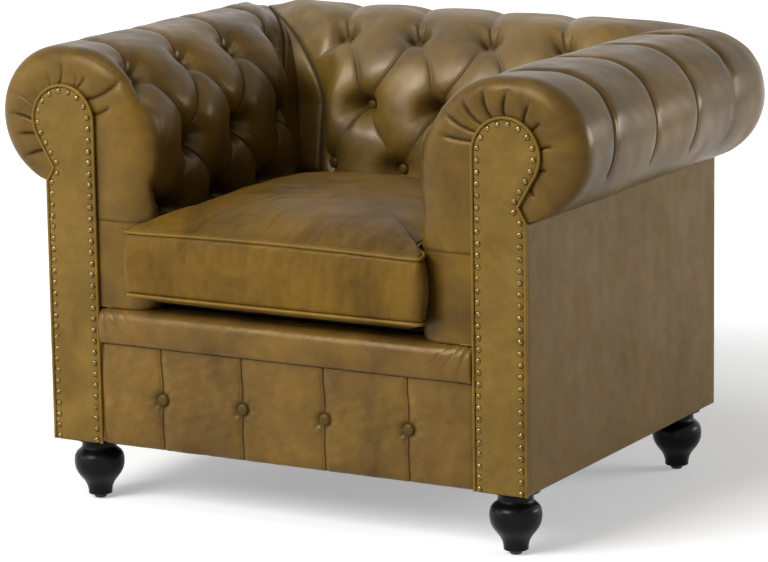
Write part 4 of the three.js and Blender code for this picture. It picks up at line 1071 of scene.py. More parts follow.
def tube(path, radius, sides=14, closed=False, up=(0.0, 1.0, 0.0)):
    """A round welt along a path of points."""
    path = np.asarray(path, float)
    if closed:
        ahead = np.roll(path, -1, axis=0) - np.roll(path, 1, axis=0)
    else:
        ahead = np.gradient(path, axis=0)
    ahead = unit(ahead)
    side = unit(np.cross(np.asarray(up, float), ahead))
    rise = np.cross(ahead, side)
    turn = np.linspace(0, 2 * math.pi, sides, endpoint=False)
    offset = side[:, None] * np.cos(turn)[None, :, None] + rise[:, None] * np.sin(turn)[None, :, None]
    loops = path[:, None, :] + np.asarray(radius).reshape(-1, 1, 1) * offset
    points = loops.reshape(-1, 3)
    last = (len(loops) - 1) * sides
    if closed:
        ring = np.arange(sides)
        after = np.roll(ring, -1)
        seam = np.stack([last + ring, last + after, after, ring], axis=-1)
        quads = np.concatenate([ring_faces(len(loops), sides), seam])
        return points, divided(points, outward_quads(points, quads))
    caps = [[0, k, k + 1] for k in range(1, sides - 1)]
    caps += [[last, last + k + 1, last + k] for k in range(1, sides - 1)]
    return points, np.concatenate([ring_skin(points, len(loops), sides), caps])


NAIL_RADIUS = 4.8
NAIL_HEIGHT = 3.0
NAIL_PITCH = 17.6
NAIL_INSET = 8.8
NAIL_END = 5.0
NAIL_TILT = 0.07
PIPING_RADIUS = 2.8


def nail_places(side):
    """Nails along the facing's edge, each a little off its place and a little tilted."""
    line = Line(facing_outline(NAIL_INSET))
    run = line.length - 2 * NAIL_END
    count = int(round(run / NAIL_PITCH))
    draw = np.random.default_rng(5 + side)
    places = []
    for k in range(count + 1):
        x, z = line.at(NAIL_END + k * run / count) + draw.normal(0, 0.25, 2)
        tilt = draw.normal(0, NAIL_TILT, 2)
        places.append(((side * x, 0.6, z), (tilt[0], -1.0, tilt[1]), draw.uniform(0.96, 1.03)))
    return places


nail_shape, nail_faces = dome_points(NAIL_RADIUS, NAIL_HEIGHT, 6, 18, 0.9)
welt_line = facing_outline(0)
for side, word in SIDES:
    front, back = facing_grids(41 + side)
    if side < 0:
        front, back = mirrored(front), mirrored(back)
    cover(f"{word}_facing_cover", sheet(front, back), matte_hide, f"{word}_arm_facing")
    path = spread(side * welt_line[:, 0], WELT_SETBACK, welt_line[:, 1])
    piping = tube(path, PIPING_RADIUS * (1 + 0.04 * wave(path, 7 + side, 30)))
    cover(f"{word}_facing_piping", piping, piping_hide, f"{word}_facing_welt")
    add_mesh(f"{word}_facing_nails", *copies(nail_shape, nail_faces, nail_places(side)), brass_finish)

# Seat cushion

CUSHION_FRONT = -31.0
CUSHION_WIDE = 261.0
CUSHION_SIDE = 227.0
CUSHION_REAR = 470.0
CUSHION_CORNER = 26.0
CUSHION_NECK = 40.0
CUSHION_SWEEP = 2.0
CUSHION_CROWN = 27.0
CUSHION_SIDE_RISE = 18.0
CUSHION_FRONT_RISE = 4.0
LOW_WELT = 356.0
HIGH_WELT = 454.0
WELT_INSET = 2.0
CUSHION_MIDDLE = (CUSHION_REAR + CUSHION_FRONT) / 2
CUSHION_HALF_DEPTH = (CUSHION_REAR - CUSHION_FRONT) / 2
CUSHION_FLOOR = 324.5
BELLY_SIDE = 1.2
BELLY_FRONT = 4.5
PUCKER = 0.9
PUCKER_SIZE = 26.0
BOXING_WAVE = 1.1
BOXING_WAVE_SIZE = 95.0
TOP_WAVE = 1.8
TOP_WAVE_SIZE = 190.0
TOP_RIPPLE = 0.8
TOP_RIPPLE_SIZE = 60.0


def bezier(a, b, c, d, steps=60):
    t = np.linspace(0, 1, steps)[:, None]
    a, b, c, d = (np.asarray(p, float) for p in (a, b, c, d))
    return (1 - t) ** 3 * a + 3 * t * (1 - t) ** 2 * b + 3 * t * t * (1 - t) * c + t ** 3 * d


def quadratic(a, b, c, steps=60):
    a, b, c = (np.asarray(p, float) for p in (a, b, c))
    return bezier(a, a + (b - a) * 2 / 3, c + (b - c) * 2 / 3, c, steps)


def cushion_outline():
    """In plan, from the middle of the rear edge round over the right side, front and left."""
    turn = CUSHION_CORNER / 2
    neck = CUSHION_NECK
    half = np.concatenate([
        [[0, CUSHION_REAR]],
        arc(CUSHION_SIDE - CUSHION_CORNER, CUSHION_REAR - CUSHION_CORNER, CUSHION_CORNER, CUSHION_CORNER,
            math.pi / 2, 0, 40),
        bezier((CUSHION_SIDE, neck), (CUSHION_SIDE, neck / 4), (CUSHION_WIDE, neck / 6),
               (CUSHION_WIDE, CUSHION_FRONT + turn)),
        quadratic((CUSHION_WIDE, CUSHION_FRONT + turn), (CUSHION_WIDE, CUSHION_FRONT),
                  (CUSHION_WIDE - turn, CUSHION_FRONT + CUSHION_SWEEP))[1:],
        quadratic((CUSHION_WIDE - turn, CUSHION_FRONT + CUSHION_SWEEP), (CUSHION_WIDE / 2, CUSHION_FRONT),
                  (0, CUSHION_FRONT))[1:],
    ])
    line = Line(half)
    count = 420
    spaced = line.at(np.linspace(0, line.length, count))
    rest = spaced[1:-1][::-1] * np.array([-1.0, 1.0])
    return np.concatenate([spaced, rest])


def low_welt(points):
    return np.full(points.shape[:-1], LOW_WELT)


def high_welt(points):
    """The upper welt's height, which is highest in the middle of each side."""
    across = np.minimum(1, np.abs(points[..., 0]) / CUSHION_SIDE)
    along = np.minimum(1, np.abs(points[..., 1] - CUSHION_MIDDLE) / CUSHION_HALF_DEPTH)
    return HIGH_WELT + CUSHION_SIDE_RISE * (1 - along * along) + CUSHION_FRONT_RISE * (1 - across * across)


cushion_edge = cushion_outline()
edge_out = quarter_turned(unit(np.roll(cushion_edge, -1, axis=0) - np.roll(cushion_edge, 1, axis=0)))


def cushion_ring(inset, share, height):
    """A ring of the cushion: the edge moved in and drawn to the middle, at a height of its own."""
    inset = np.broadcast_to(inset, len(cushion_edge))
    moved = cushion_edge - edge_out * inset[:, None]
    middle = np.array([0.0, CUSHION_MIDDLE])
    moved = moved * (1 - share) + middle * share
    level = height(moved) if callable(height) else np.full(len(moved), height)
    return np.concatenate([moved, level[:, None]], axis=1)


def cushion_shape():
    """Rings from the middle of the underside out, up over both welts and in to the middle of the top."""
    groove = WELT_RADIUS + 0.2
    lift = groove * math.sqrt(0.5)
    inset = WELT_INSET + lift
    front = 1 - smooth_step(-10, 20, cushion_edge[:, 1])
    drop = LOW_WELT - lift - CUSHION_FLOOR
    rings = []

    def round_welt(turn, welt):
        inwards = WELT_INSET - groove * math.cos(turn * math.pi)
        rings.append(cushion_ring(inwards, 0, lambda p: welt(p) + groove * math.sin(turn * math.pi)))

    shares = np.concatenate([np.linspace(0, 0.3, 14)[:-1], np.linspace(0.3, 0.97, 10)])
    for share in shares[::-1]:
        rings.append(cushion_ring(inset, share, LOW_WELT - lift - drop * (1 - (1 - share) ** 4)))
    for turn in (1, 0.85, 0.7, 0.5):
        round_welt(turn, low_welt)
    for share in np.linspace(0, 1, 18)[1:-1]:
        belly = (BELLY_SIDE + BELLY_FRONT * front) * np.sin(math.pi * share) ** 0.8
        rings.append(cushion_ring(WELT_INSET - belly, 0,
                                  lambda p, s=share: lerp(LOW_WELT + groove, high_welt(p) - groove, s)))
    for turn in (-0.5, -0.7, -0.85, 1):
        round_welt(turn, high_welt)
    shares = np.concatenate([np.linspace(0, 0.25, 20)[:-1], np.linspace(0.25, 0.985, 36)])
    for share in shares:
        rings.append(cushion_ring(inset, share, lambda p, s=share: (
            high_welt(p) + lift + (CUSHION_CROWN - lift) * (1 - (1 - s) ** 5))))
    return np.array(rings)


def cushion_folds(rings):
    """Soft puckers across the boxing, pulls in from the welts and a little sag on top."""
    run = np.linalg.norm(np.roll(cushion_edge, -1, axis=0) - cushion_edge, axis=1)
    along = np.concatenate([[0], np.cumsum(run)[:-1]])
    places = spread(along, 0.0, 0.0)
    pucker = PUCKER * wave(places, 71, PUCKER_SIZE, 2)
    broad = BOXING_WAVE * wave(places, 72, BOXING_WAVE_SIZE, 2)
    welt = high_welt(rings)
    level = rings[:, :, 2]
    boxing = (level > LOW_WELT + 4) & (level < welt - 4)
    share = np.clip((level - LOW_WELT) / (welt - LOW_WELT), 0, 1)
    near_welt = bell(np.minimum(share, 1 - share), 0.22, 1)
    swell = pucker[None, :] * near_welt + broad[None, :] * np.sin(math.pi * share)
    out = np.where(boxing, swell, 0)
    rings = rings.copy()
    rings[:, :, :2] += edge_out[None, :, :] * out[:, :, None]
    top = level >= welt
    rise = TOP_WAVE * wave(rings * np.array([1.0, 1.0, 0.0]), 73, TOP_WAVE_SIZE)
    rise = rise + TOP_RIPPLE * wave(rings, 74, TOP_RIPPLE_SIZE, 2)
    depth = np.clip((level - welt - 2) / 12, 0, 1)
    rings[:, :, 2] += np.where(top, rise * depth, 0)
    return rings


def build_cushion():
    """The cushion's closed skin, with a point in the middle of its top and one underneath."""
    rings = cushion_folds(cushion_shape())
    size = rings.shape[1]
    points = np.concatenate([rings.reshape(-1, 3), [rings[0].mean(axis=0)], [rings[-1].mean(axis=0)]])
    ring = np.arange(size)
    bottom = outward_cap(points, fan(ring, len(points) - 2))
    top = outward_cap(points, fan((len(rings) - 1) * size + ring, len(points) - 1))
    return points, np.concatenate([ring_skin(points, len(rings), size), bottom, top])


SIM_VOXEL = 6.5
SIM_FRAMES = 20
SIM_PRESSURE = 4.0
SIM_SLACK = 0.004
SIM_REACH_TOP = 4.0
SIM_REACH_FRONT = 4.5
SIM_REACH_SIDE = 1.0
SIM_QUALITY = 5
SIM_HELD = 1.3 * SIM_VOXEL
SIM_FLOOR = CUSHION_FLOOR + 4
SIM_NEIGHBOURS = 6


def evaluated(piece):
    return piece.evaluated_get(bpy.context.evaluated_depsgraph_get())


def blown_up(points, triangles):
    """The cushion's skin after cloth simulation: held at its welts and pushed out by its filling."""
    source = add_mesh("cushion_rest_shape", points, triangles, cushion_hide, body="cushion")
    remesh = source.modifiers.new("remesh", "REMESH")
    remesh.mode = "VOXEL"
    remesh.voxel_size = SIM_VOXEL * MM
    mesh = bpy.data.meshes.new_from_object(evaluated(source))
    bpy.data.objects.remove(source)
    skin = bpy.data.objects.new("cushion_sim_skin", mesh)
    bpy.context.scene.collection.objects.link(skin)
    before = vertex_places(mesh)
    held = welt_distance(before) < SIM_HELD
    held |= before[:, 2] < SIM_FLOOR
    group = skin.vertex_groups.new(name="held")
    group.add([int(k) for k in np.flatnonzero(held)], 1.0, "REPLACE")
    cloth_skin = skin.modifiers.new("cloth", "CLOTH")
    settings = cloth_skin.settings
    settings.quality = SIM_QUALITY
    settings.use_pressure = True
    settings.uniform_pressure_force = SIM_PRESSURE
    settings.shrink_min = -SIM_SLACK
    settings.vertex_group_mass = "held"
    settings.effector_weights.gravity = 0
    cloth_skin.collision_settings.use_collision = False
    cloth_skin.point_cache.frame_end = SIM_FRAMES
    for step in range(1, SIM_FRAMES + 1):
        bpy.context.scene.frame_set(step)
    shift = vertex_places(evaluated(skin).to_mesh()) - before
    bpy.data.objects.remove(skin)
    bpy.context.scene.frame_set(1)
    tree = KDTree(len(before))
    for k, place in enumerate(before):
        tree.insert(place, k)
    tree.balance()
    carried = np.zeros_like(points)
    for k, place in enumerate(points):
        near = tree.find_n(place, SIM_NEIGHBOURS)
        weights = np.array([1 / (distance + 1.0) ** 2 for _, _, distance in near])
        carried[k] = weights @ shift[[index for _, index, _ in near]] / weights.sum()
    return points + capped(points, carried)


def vertex_places(mesh):
    """A mesh's points in millimetres in the chair's axes."""
    flat = np.empty(3 * len(mesh.vertices), np.float32)
    mesh.vertices.foreach_get("co", flat)
    places = flat.reshape(-1, 3).astype(float)
    places[:, 1] -= FACE_PLANE
    return places / MM


def welt_distance(places):
    """How far each point is from the nearer of the two welts."""
    edge = cushion_edge - edge_out * WELT_INSET
    away = np.full(len(places), 1e9)
    for start in range(0, len(places), 4000):
        part = places[start:start + 4000]
        apart = part[:, None, :2] - edge[None, ::3, :]
        flat = np.hypot(apart[:, :, 0], apart[:, :, 1]).min(axis=1)
        rise = np.minimum(np.abs(part[:, 2] - LOW_WELT), np.abs(part[:, 2] - high_welt(part[:, :2])))
        away[start:start + 4000] = np.hypot(flat, rise)
    return away


def capped(points, shift):
    """The movement limited so that the skin stays clear of the arms, the back and the deck."""
    front = 1 - smooth_step(-12, 10, points[:, 1])
    reach = lerp(SIM_REACH_SIDE, SIM_REACH_FRONT, front)
    above = smooth_step(LOW_WELT - 5, LOW_WELT + 5, points[:, 2])
    level = np.linalg.norm(shift[:, :2], axis=1)
    keep = np.tanh(level / reach) * reach / np.maximum(level, 1e-6)
    out = shift.copy()
    out[:, :2] *= (keep * above)[:, None]
    out[:, 2] = SIM_REACH_TOP * np.tanh(shift[:, 2] / SIM_REACH_TOP) * above
    return out


points, triangles = build_cushion()
points = blown_up(points, triangles)
cover("seat_cushion_cover", (points, triangles), cushion_hide, "seat_cushion",
      body="cushion")
for word, height in (("top", high_welt), ("bottom", low_welt)):
    plan = cushion_edge - edge_out * WELT_INSET
    path = spread(plan[:, 0], plan[:, 1], height(plan))
    piping = tube(path, PIPING_RADIUS * (1 + 0.05 * wave(path, 81, 26)), closed=True, up=(0.0, 0.0, 1.0))
    cover(f"cushion_piping_{word}", piping, piping_hide, f"cushion_welt_{word}", body="cushion")

# Lip and apron

LIP_HALF = FACING_INNER - WELT_RADIUS - GAP
LIP_BOTTOM = 267.0
LIP_TOP = 324.0
LIP_BULGE = 6.0
LIP_RADIUS = 22.0
LIP_DEPTH = 60.0
LIP_THICKNESS = 27.0
LIP_WAVE = 0.7
LIP_WAVE_SIZE = 130.0
LIP_RIPPLE = 0.15
LIP_RIPPLE_SIZE = 36.0
LIP_END = 5.0
LIP_END_DIP = 2.5
LIP_CREASE = 3.2
LIP_CREASE_DROP = 14.0
LIP_CREASE_REACH = 24.0
APRON_THICKNESS = 14.0
APRON_CROWN = 2.0
APRON_PLEAT = 9.0
APRON_PITCH = 146.0
APRON_PANELS = 5
APRON_BUTTON_Z = 185.0
APRON_BUTTON_RADIUS = 10.0
APRON_BUTTON_HEIGHT = 8.0
APRON_TOP = LIP_BOTTOM - GAP
APRON_SWAY = 1.6
APRON_FOLD = 7.0
APRON_ROUNDING = 24.0
APRON_POCKET = 15.0
APRON_LINE = 1.1
APRON_SECOND_LINE = 4.0
APRON_WAVE = 0.9
APRON_WAVE_SIZE = 70.0
APRON_RIPPLE = 0.4
APRON_RIPPLE_SIZE = 24.0
HEM = 3.0
HEM_STRIP = 8.0

# Creases at each end of the lip: how far from the end each starts, its lean and its depth
LIP_CREASES = ((0, 0.35, 1.5), (13, 0.75, 0.8), (30, 1.1, 0.4))


def lip_section():
    """The lip cut from front to rear: its padded skin, and the frame behind it, as (y, z)."""
    middle = (LIP_BOTTOM + LIP_TOP) / 2
    front = np.concatenate([
        quadratic((3, LIP_BOTTOM), (-LIP_BULGE, LIP_BOTTOM + 1), (-LIP_BULGE, middle), 26),
        quadratic((-LIP_BULGE, middle), (-LIP_BULGE, LIP_TOP), (LIP_RADIUS - LIP_BULGE, LIP_TOP), 34)[1:],
        [[30, LIP_TOP], [45, LIP_TOP], [LIP_DEPTH, LIP_TOP]],
    ])
    back = [[LIP_DEPTH, LIP_TOP - LIP_THICKNESS], [APRON_THICKNESS + 8, LIP_TOP - LIP_THICKNESS],
            [APRON_THICKNESS, LIP_TOP - LIP_THICKNESS], [APRON_THICKNESS, LIP_BOTTOM]]
    return front, np.array(back)


def build_lip():
    """The lip's loops from left to right, with the creases that fan in from its ends."""
    front, back = lip_section()
    x = np.linspace(-LIP_HALF, LIP_HALF, 330)
    out = quarter_turned(unit(np.gradient(front, axis=0)))
    if out[10, 0] > 0:
        out = -out
    places = spread(x[:, None], front[:, 0], front[:, 1])
    rough = LIP_WAVE * wave(places * np.array([1, 1, 0.3]), 91, LIP_WAVE_SIZE)
    rough = rough + LIP_RIPPLE * wave(places, 92, LIP_RIPPLE_SIZE, 2)
    creases = np.zeros_like(rough)
    below_top = LIP_TOP - places[:, :, 2]
    for side in (-1, 1):
        for start, lean, depth in LIP_CREASES:
            line = LIP_HALF - LIP_END - start - lean * below_top
            crease = depth * bell(side * places[:, :, 0] - line, LIP_CREASE)
            creases += crease * bell(below_top - LIP_CREASE_DROP, LIP_CREASE_REACH)
    hold = smooth_step(0, 6, front[:, 1] - LIP_BOTTOM) * (1 - smooth_step(18, 40, front[:, 0]))
    moved = front[None] + out[None] * ((rough - creases) * hold[None, :])[:, :, None]
    end = LIP_END_DIP * bell(LIP_HALF - np.abs(x), LIP_END, 1)
    moved = moved - out[None] * (end[:, None] * hold[None, :])[:, :, None]
    fronts = spread(x[:, None], moved[:, :, 0], moved[:, :, 1])
    # Painted shade in the creases at the lip's ends, as much as they dent it
    return with_back(fronts, back), np.clip(creases / 3.5, 0, 1) * hold


folded_cover("seat_lip_cover", *build_lip(), front_hide, "front_lip", 0.9)

apron_pleats = [(k - (APRON_PANELS - 2) / 2) * APRON_PITCH for k in range(APRON_PANELS - 1)]


def build_apron():
    """Soft panels between pleats, which pinch in under their buttons and at the hem."""
    fine = []
    edges = [-LIP_HALF] + apron_pleats + [LIP_HALF]
    for a, b in zip(edges, edges[1:]):
        share = np.linspace(0, 1, 84)[:-1]
        fine.append(a + (b - a) * (share - 0.12 * np.sin(2 * math.pi * share)))
    x = np.concatenate(fine + [[LIP_HALF]])
    hem_top = UNDERSIDE + HEM_STRIP
    z = np.concatenate([np.linspace(UNDERSIDE, hem_top, 6)[:-1], np.linspace(hem_top, APRON_TOP, 62)])
    grid_x, grid_z = np.meshgrid(x, z, indexing="ij")
    places = spread(grid_x, 0.0, grid_z)
    sway = APRON_SWAY * wave(places * np.array([0.0, 0.0, 1.0]), 95, 70, 2)
    sway = sway * smooth_step(10, 40, np.abs(grid_z - APRON_BUTTON_Z))
    off = np.min([np.abs(grid_x - p - sway) for p in apron_pleats], axis=0)
    button = np.min([np.hypot(grid_x - p, grid_z - APRON_BUTTON_Z) for p in apron_pleats], axis=0)
    reach = (grid_z - UNDERSIDE) / (APRON_TOP - UNDERSIDE)
    fold = bell(off, APRON_FOLD, 1)
    pocket = bell(button, APRON_POCKET)
    rim = bell(np.minimum(1.6 * reach, 1 - reach), 0.14, 1)
    line = bell(off, APRON_LINE)
    second = bell(off - APRON_SECOND_LINE, APRON_LINE) * smooth_step(8, 26, button)
    round_side = bell(off, APRON_ROUNDING, 1)
    depth = APRON_PLEAT * np.maximum(np.maximum(0.36 * fold + 0.26 * round_side, pocket), 0.42 * rim)
    depth = depth + 1.3 * line * smooth_step(6, 14, button) + 0.5 * second
    angle = np.arctan2(grid_z - APRON_BUTTON_Z, off)
    depth = depth + 0.5 * np.cos(9 * angle) * bell(button - 17, 8)
    rough = APRON_WAVE * wave(places, 96, APRON_WAVE_SIZE)
    rough = rough + APRON_RIPPLE * wave(places, 97, APRON_RIPPLE_SIZE, 2)
    front = np.minimum(APRON_CROWN + depth - rough - 1.0, APRON_THICKNESS - 1)
    hem = HEM * bell(grid_z - UNDERSIDE, 2.0, 1) + HEM * bell(LIP_HALF - np.abs(grid_x), 4.0, 1)
    front = np.minimum(front + hem, APRON_THICKNESS - 0.5)
    back = np.array([[APRON_THICKNESS, APRON_TOP], [APRON_THICKNESS, UNDERSIDE]])
    # Painted shade: along the pleat lines, in a ring round each button and along the panels' top and bottom
    # edges
    button_shadow = 0.55 * bell(button - 11.0, 5.0)
    edge = 0.4 * bell(np.minimum(reach, 1 - reach), 0.05, 1)
    dark = np.maximum(np.maximum(0.75 * line + 0.25 * second, button_shadow), edge)
    return with_back(spread(grid_x, front, grid_z), back), dark


folded_cover("apron_cover", *build_apron(), front_hide, "apron", 0.7)
shape, faces = dome_points(APRON_BUTTON_RADIUS, APRON_BUTTON_HEIGHT * 0.74, 9, 32, 0.5)
base = APRON_CROWN + APRON_PLEAT - GAP - 0.26 * APRON_BUTTON_HEIGHT
for k, x in enumerate(apron_pleats):
    button = copies(shape, faces, [((x, base, APRON_BUTTON_Z), (0.0, -1.0, 0.0), 1.0)])
    cover(f"apron_button_cover_{k + 1}", button, button_hide, f"apron_button_{k + 1}")

# Outside covers, stretched flat with a soft edge

PANEL = 3.0
PANEL_PUFF = 0.8
PANEL_TURN_IN = 1.8
PANEL_WAVE = 1.2
PANEL_WAVE_SIZE = 240.0
PANEL_RIPPLE = 0.4
PANEL_RIPPLE_SIZE = 70.0
PANEL_PULL = 0.8
PANEL_PULL_SIZE = 60.0
PANEL_TOP = SKIRT_Z - GAP
SIDE_PANEL_FRONT = WELT_SETBACK + WELT_RADIUS + GAP


def stretched_cover(name, place, length, height, seed, stands_for):
    """A thin cover over length and height. place turns (u, v, how proud) into points."""
    u = np.linspace(0, length, 150)
    v = np.linspace(0, height, 100)
    grid_u, grid_v = np.meshgrid(u, v, indexing="ij")
    edge = np.minimum(np.minimum(grid_u, length - grid_u), np.minimum(grid_v, height - grid_v))
    places = spread(grid_u, 0.0, grid_v)
    rough = PANEL_WAVE * wave(places, seed, PANEL_WAVE_SIZE)
    rough = rough + PANEL_RIPPLE * wave(places, seed + 1, PANEL_RIPPLE_SIZE)
    pull = PANEL_PULL * wave(places * np.array([1.0, 0.0, 0.12]), seed + 2, PANEL_PULL_SIZE)
    pull = pull * bell(height - grid_v, PANEL_PULL_SIZE, 1)
    proud = PANEL + (rough + pull) * smooth_step(0, 30, edge) + PANEL_PUFF * (1 - bell(edge, 25, 1))
    proud = proud - PANEL_TURN_IN * bell(edge, 2.0, 1)
    skin = sheet(place(grid_u, grid_v, proud), place(grid_u, grid_v, 0.0))
    cover(name, skin, panel_hide, stands_for)


for side, word in SIDES:
    def at_side(u, v, out):
        return spread(side * (BODY_HALF - PANEL + out), SIDE_PANEL_FRONT + u, UNDERSIDE + v)

    stretched_cover(f"{word}_outside_cover", at_side, BODY_DEPTH - SIDE_PANEL_FRONT, PANEL_TOP - UNDERSIDE,
                    101 + side, f"{word}_outside_arm_panel")


back_half = BODY_HALF - PANEL - GAP


def behind(u, v, out):
    return spread(u - back_half, BODY_DEPTH - PANEL + out, UNDERSIDE + v)


stretched_cover("outside_back_cover", behind, 2 * back_half, PANEL_TOP - UNDERSIDE, 111,
                "outside_back_panel")

# Feet

FOOT_OUT = 374.0
FOOT_FRONT = 54.6
FOOT_REAR = BODY_DEPTH - 48.0
FOOT_SIDES = 56
SOLE_Z = 7.0
BALL_RADIUS = 40.0
BALL_Z = 61.0
NECK_RADIUS = 27.0
NECK_Z = 88.0
RING_Z = 96.7
CAP_RADIUS = 38.0
FOOT_TOP = UNDERSIDE - GAP
foot_profile = np.concatenate([
    [[0.0, SOLE_Z], [14.0, SOLE_Z], [17.8, SOLE_Z]],
    quadratic((17.8, SOLE_Z), (19.0, SOLE_Z), (19.0, 8.4), 6)[1:],
    bezier((19.0, 8.4), (19.0, 34.0), (BALL_RADIUS, 34.0), (BALL_RADIUS, BALL_Z), 26)[1:],
    bezier((BALL_RADIUS, BALL_Z), (BALL_RADIUS, 82.0), (NECK_RADIUS, 77.0), (NECK_RADIUS, NECK_Z), 22)[1:],
    quadratic((NECK_RADIUS, NECK_Z), (NECK_RADIUS, RING_Z), (35.0, RING_Z), 12)[1:],
    quadratic((35.0, RING_Z), (CAP_RADIUS, RING_Z), (CAP_RADIUS, 99.0), 8)[1:],
    [[CAP_RADIUS, 101.4]],
    quadratic((CAP_RADIUS, 101.4), (CAP_RADIUS, FOOT_TOP), (35.6, FOOT_TOP), 6)[1:],
    [[0.0, FOOT_TOP]],
])
radius, height = foot_profile[:, :1], foot_profile[:, 1:]
turn = np.linspace(0, 2 * math.pi, FOOT_SIDES, endpoint=False)
for end, y in (("front", FOOT_FRONT), ("rear", FOOT_REAR)):
    for side, word in SIDES:
        loops = spread(side * FOOT_OUT + radius * np.cos(turn), y + radius * np.sin(turn), height)
        points = loops.reshape(-1, 3)
        turned = points, ring_skin(points, len(loops), FOOT_SIDES)
        cover(f"{word}_{end}_turned_foot", turned, lacquer_finish, f"{word}_{end}_foot")

# Deck under the cushion

DECK_THICKNESS = 19.4
DECK_TOP = 324.0
DECK_SET_DOWN = 0.6
DECK_TURN_IN = 3.0
DECK_SAG = 0.8
DECK_SAG_SIZE = 90.0
QUILT_PITCH = 150.0
QUILT_DEPTH = 1.4
QUILT_SEAM = 6.0
deck_half = FACING_INNER + CORE_INSET - GAP
deck_front = LIP_DEPTH + GAP
deck_back = FACING_INNER + CORE_INSET + MITRE_SHIFT - GAP
u = np.linspace(-deck_half, deck_half, 140)
v = np.linspace(deck_front, deck_back, 110)
grid_u, grid_v = np.meshgrid(u, v, indexing="ij")
edge = np.minimum(deck_half - np.abs(grid_u), np.minimum(grid_v - deck_front, deck_back - grid_v))
half_pitch = QUILT_PITCH / 2
to_seam = [np.abs(np.mod(grid + half_pitch, QUILT_PITCH) - half_pitch) for grid in (grid_u, grid_v)]
quilt = QUILT_DEPTH * bell(np.minimum(*to_seam), QUILT_SEAM, 1)
sag = DECK_SAG * np.abs(wave(spread(grid_u, grid_v, 0.0), 121, DECK_SAG_SIZE))
level = DECK_TOP - DECK_SET_DOWN - quilt - sag - DECK_TURN_IN * bell(edge, 3.0, 1)
deck = sheet(spread(grid_u, grid_v, level), spread(grid_u, grid_v, DECK_TOP - DECK_THICKNESS))
cover("deck_cover", deck, deck_cloth, "deck_pad")

# Timber, springs, bolts and glides keep the solids' shapes

finishes = (
    (("front_board",), birch_ply),
    (("rail", "slat", "post", "block"), beech),
    (("spring", "bolt"), wire),
    (("dust_cover",), cambric),
    (("glide",), glide_finish),
)
for name, node in nodes.items():
    for words, finish in finishes:
        if any(word in name for word in words):
            node.data.materials.clear()
            node.data.materials.append(finish)
            break

# Floor, world, lamps and camera


def background_rays(tree):
    """1 for rays from the camera and for those that mirrors and glass send on."""
    path = tree.nodes.new("ShaderNodeLightPath")
    total = path.outputs["Is Camera Ray"]
    for name in ("Is Glossy Ray", "Is Transmission Ray"):
        node = tree.nodes.new("ShaderNodeMath")
        node.operation = "MAXIMUM"
        tree.links.new(total, node.inputs[0])
        tree.links.new(path.outputs[name], node.inputs[1])
        total = node.outputs["Value"]
    return total


def floor_paper():
    """Pale paper that keeps the shadow near the chair and fades to plain white further out."""
    s = Shader("floor_paper")
    grain = s.noise(60.0, 4.0)
    paper = s.finish(s.ramp(grain, [(0.3, 0.90), (0.7, 0.92)]), s.ramp(grain, [(0.3, 0.85), (0.7, 0.95)]))
    s.set(Specular_IOR_Level=0.1)
    away = s.add("VectorMath", Vector=s.where)
    away.operation = "LENGTH"
    glow = s.ramp(s.math("DIVIDE", away.outputs["Value"], 8.0, True), [(0.08, 0.36), (0.35, 1.0)])
    shine = s.add("Emission", Strength=s.math("MULTIPLY", glow, background_rays(s.tree)))
    both = s.add("AddShader")
    s.put(s.bsdf.outputs[0], both.inputs[0])
    s.put(shine.outputs[0], both.inputs[1])
    output = next(node for node in s.tree.nodes if node.type == "OUTPUT_MATERIAL")
    s.put(both.outputs[0], output.inputs["Surface"])
    return paper


FLOOR_RADIUS = 30.0
FLOOR_SIDES = 96
turn = np.linspace(0, 2 * math.pi, FLOOR_SIDES, endpoint=False)
corners = [(FLOOR_RADIUS * math.cos(a), FLOOR_RADIUS * math.sin(a), 0.0) for a in turn]
disc = bpy.data.meshes.new("floor")
disc.from_pydata(corners, [], [list(range(FLOOR_SIDES))])
disc.materials.append(floor_paper())
floor = bpy.data.objects.new("floor", disc)
bpy.context.scene.collection.objects.link(floor)

# Light from all round that the chair gets, where the camera sees plain white
WORLD_FILL = 0.07
world = bpy.data.worlds.new("studio")
bpy.context.scene.world = world
world.use_nodes = True
tree = world.node_tree
tree.nodes.clear()
out = tree.nodes.new("ShaderNodeOutputWorld")
pick = tree.nodes.new("ShaderNodeMixShader")
tree.links.new(background_rays(tree), pick.inputs[0])
tree.links.new(pick.outputs[0], out.inputs["Surface"])
for socket, strength in ((1, WORLD_FILL), (2, 1.0)):
    background = tree.nodes.new("ShaderNodeBackground")
    background.inputs["Color"].default_value = (1, 1, 1, 1)
    background.inputs["Strength"].default_value = strength
    tree.links.new(background.outputs[0], pick.inputs[socket])


LAMP_TARGET = Vector((0, 0, 0.4))


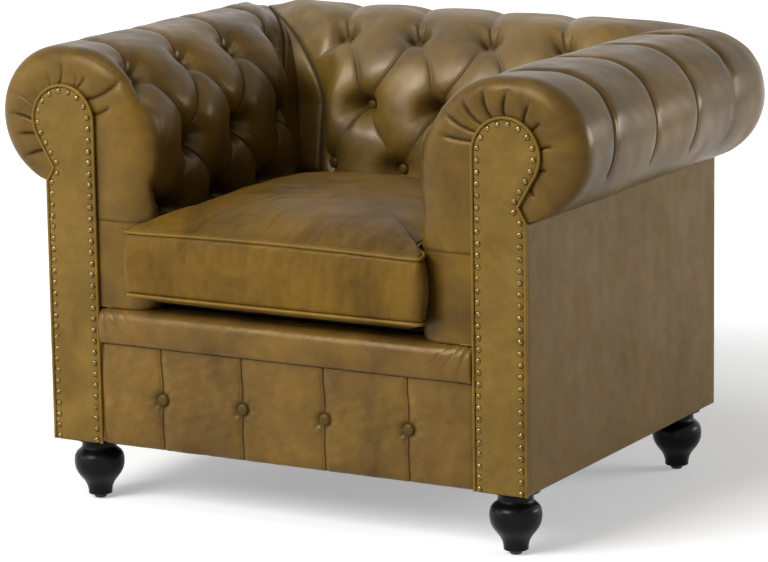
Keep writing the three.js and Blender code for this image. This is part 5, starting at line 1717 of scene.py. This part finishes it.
def seen_from(azimuth, elevation):
    """The direction to a place at an azimuth from the chair's front and an elevation."""
    level = math.cos(elevation)
    return Vector((math.sin(azimuth) * level, -math.cos(azimuth) * level, math.sin(elevation)))


def area_lamp(name, azimuth, elevation, distance, wide, tall, level):
    """A soft lamp. level is how bright it alone renders a white surface that faces it."""
    data = bpy.data.lights.new(name, "AREA")
    data.shape = "RECTANGLE"
    data.size = wide
    data.size_y = tall
    data.energy = level * (math.pi * distance) ** 2
    lamp = bpy.data.objects.new(name, data)
    bpy.context.scene.collection.objects.link(lamp)
    away = seen_from(math.radians(azimuth), math.radians(elevation))
    lamp.location = LAMP_TARGET + distance * away
    lamp.rotation_euler = (-away).to_track_quat("-Z", "Y").to_euler()


area_lamp("key", -18, 34, 7.0, 3.6, 3.2, 0.95)
area_lamp("left", -50, 10, 4.0, 2.6, 1.5, 0.17)
area_lamp("side", 126, 11, 4.5, 2.2, 0.9, 0.4)
area_lamp("top", -8, 66, 4.0, 1.6, 1.3, 0.14)

CAMERA_PLACE = (2.852094, -5.075582, 1.521755)
CAMERA_AZIMUTH = math.radians(29.5465578)
CAMERA_ELEVATION = math.radians(11.59797032)
CAMERA_ROLL = math.radians(-0.85320673)
camera_data = bpy.data.cameras.new("camera")
camera_data.lens = 173.479
camera_data.sensor_width = 36.0
camera_data.clip_end = 100.0
camera = bpy.data.objects.new("camera", camera_data)
bpy.context.scene.collection.objects.link(camera)
backward = seen_from(CAMERA_AZIMUTH, CAMERA_ELEVATION)
level_right = (-backward).cross(Vector((0, 0, 1))).normalized()
level_up = level_right.cross(-backward)
c, s = math.cos(CAMERA_ROLL), math.sin(CAMERA_ROLL)
view_right = level_right * c + level_up * s
view_up = level_up * c - level_right * s
camera.matrix_world = Matrix((
    (view_right.x, view_up.x, backward.x, CAMERA_PLACE[0]),
    (view_right.y, view_up.y, backward.y, CAMERA_PLACE[1]),
    (view_right.z, view_up.z, backward.z, CAMERA_PLACE[2]),
    (0, 0, 0, 1),
))
bpy.context.scene.camera = camera
bpy.context.scene.view_settings.view_transform = "Standard"

bpy.context.view_layer.update()
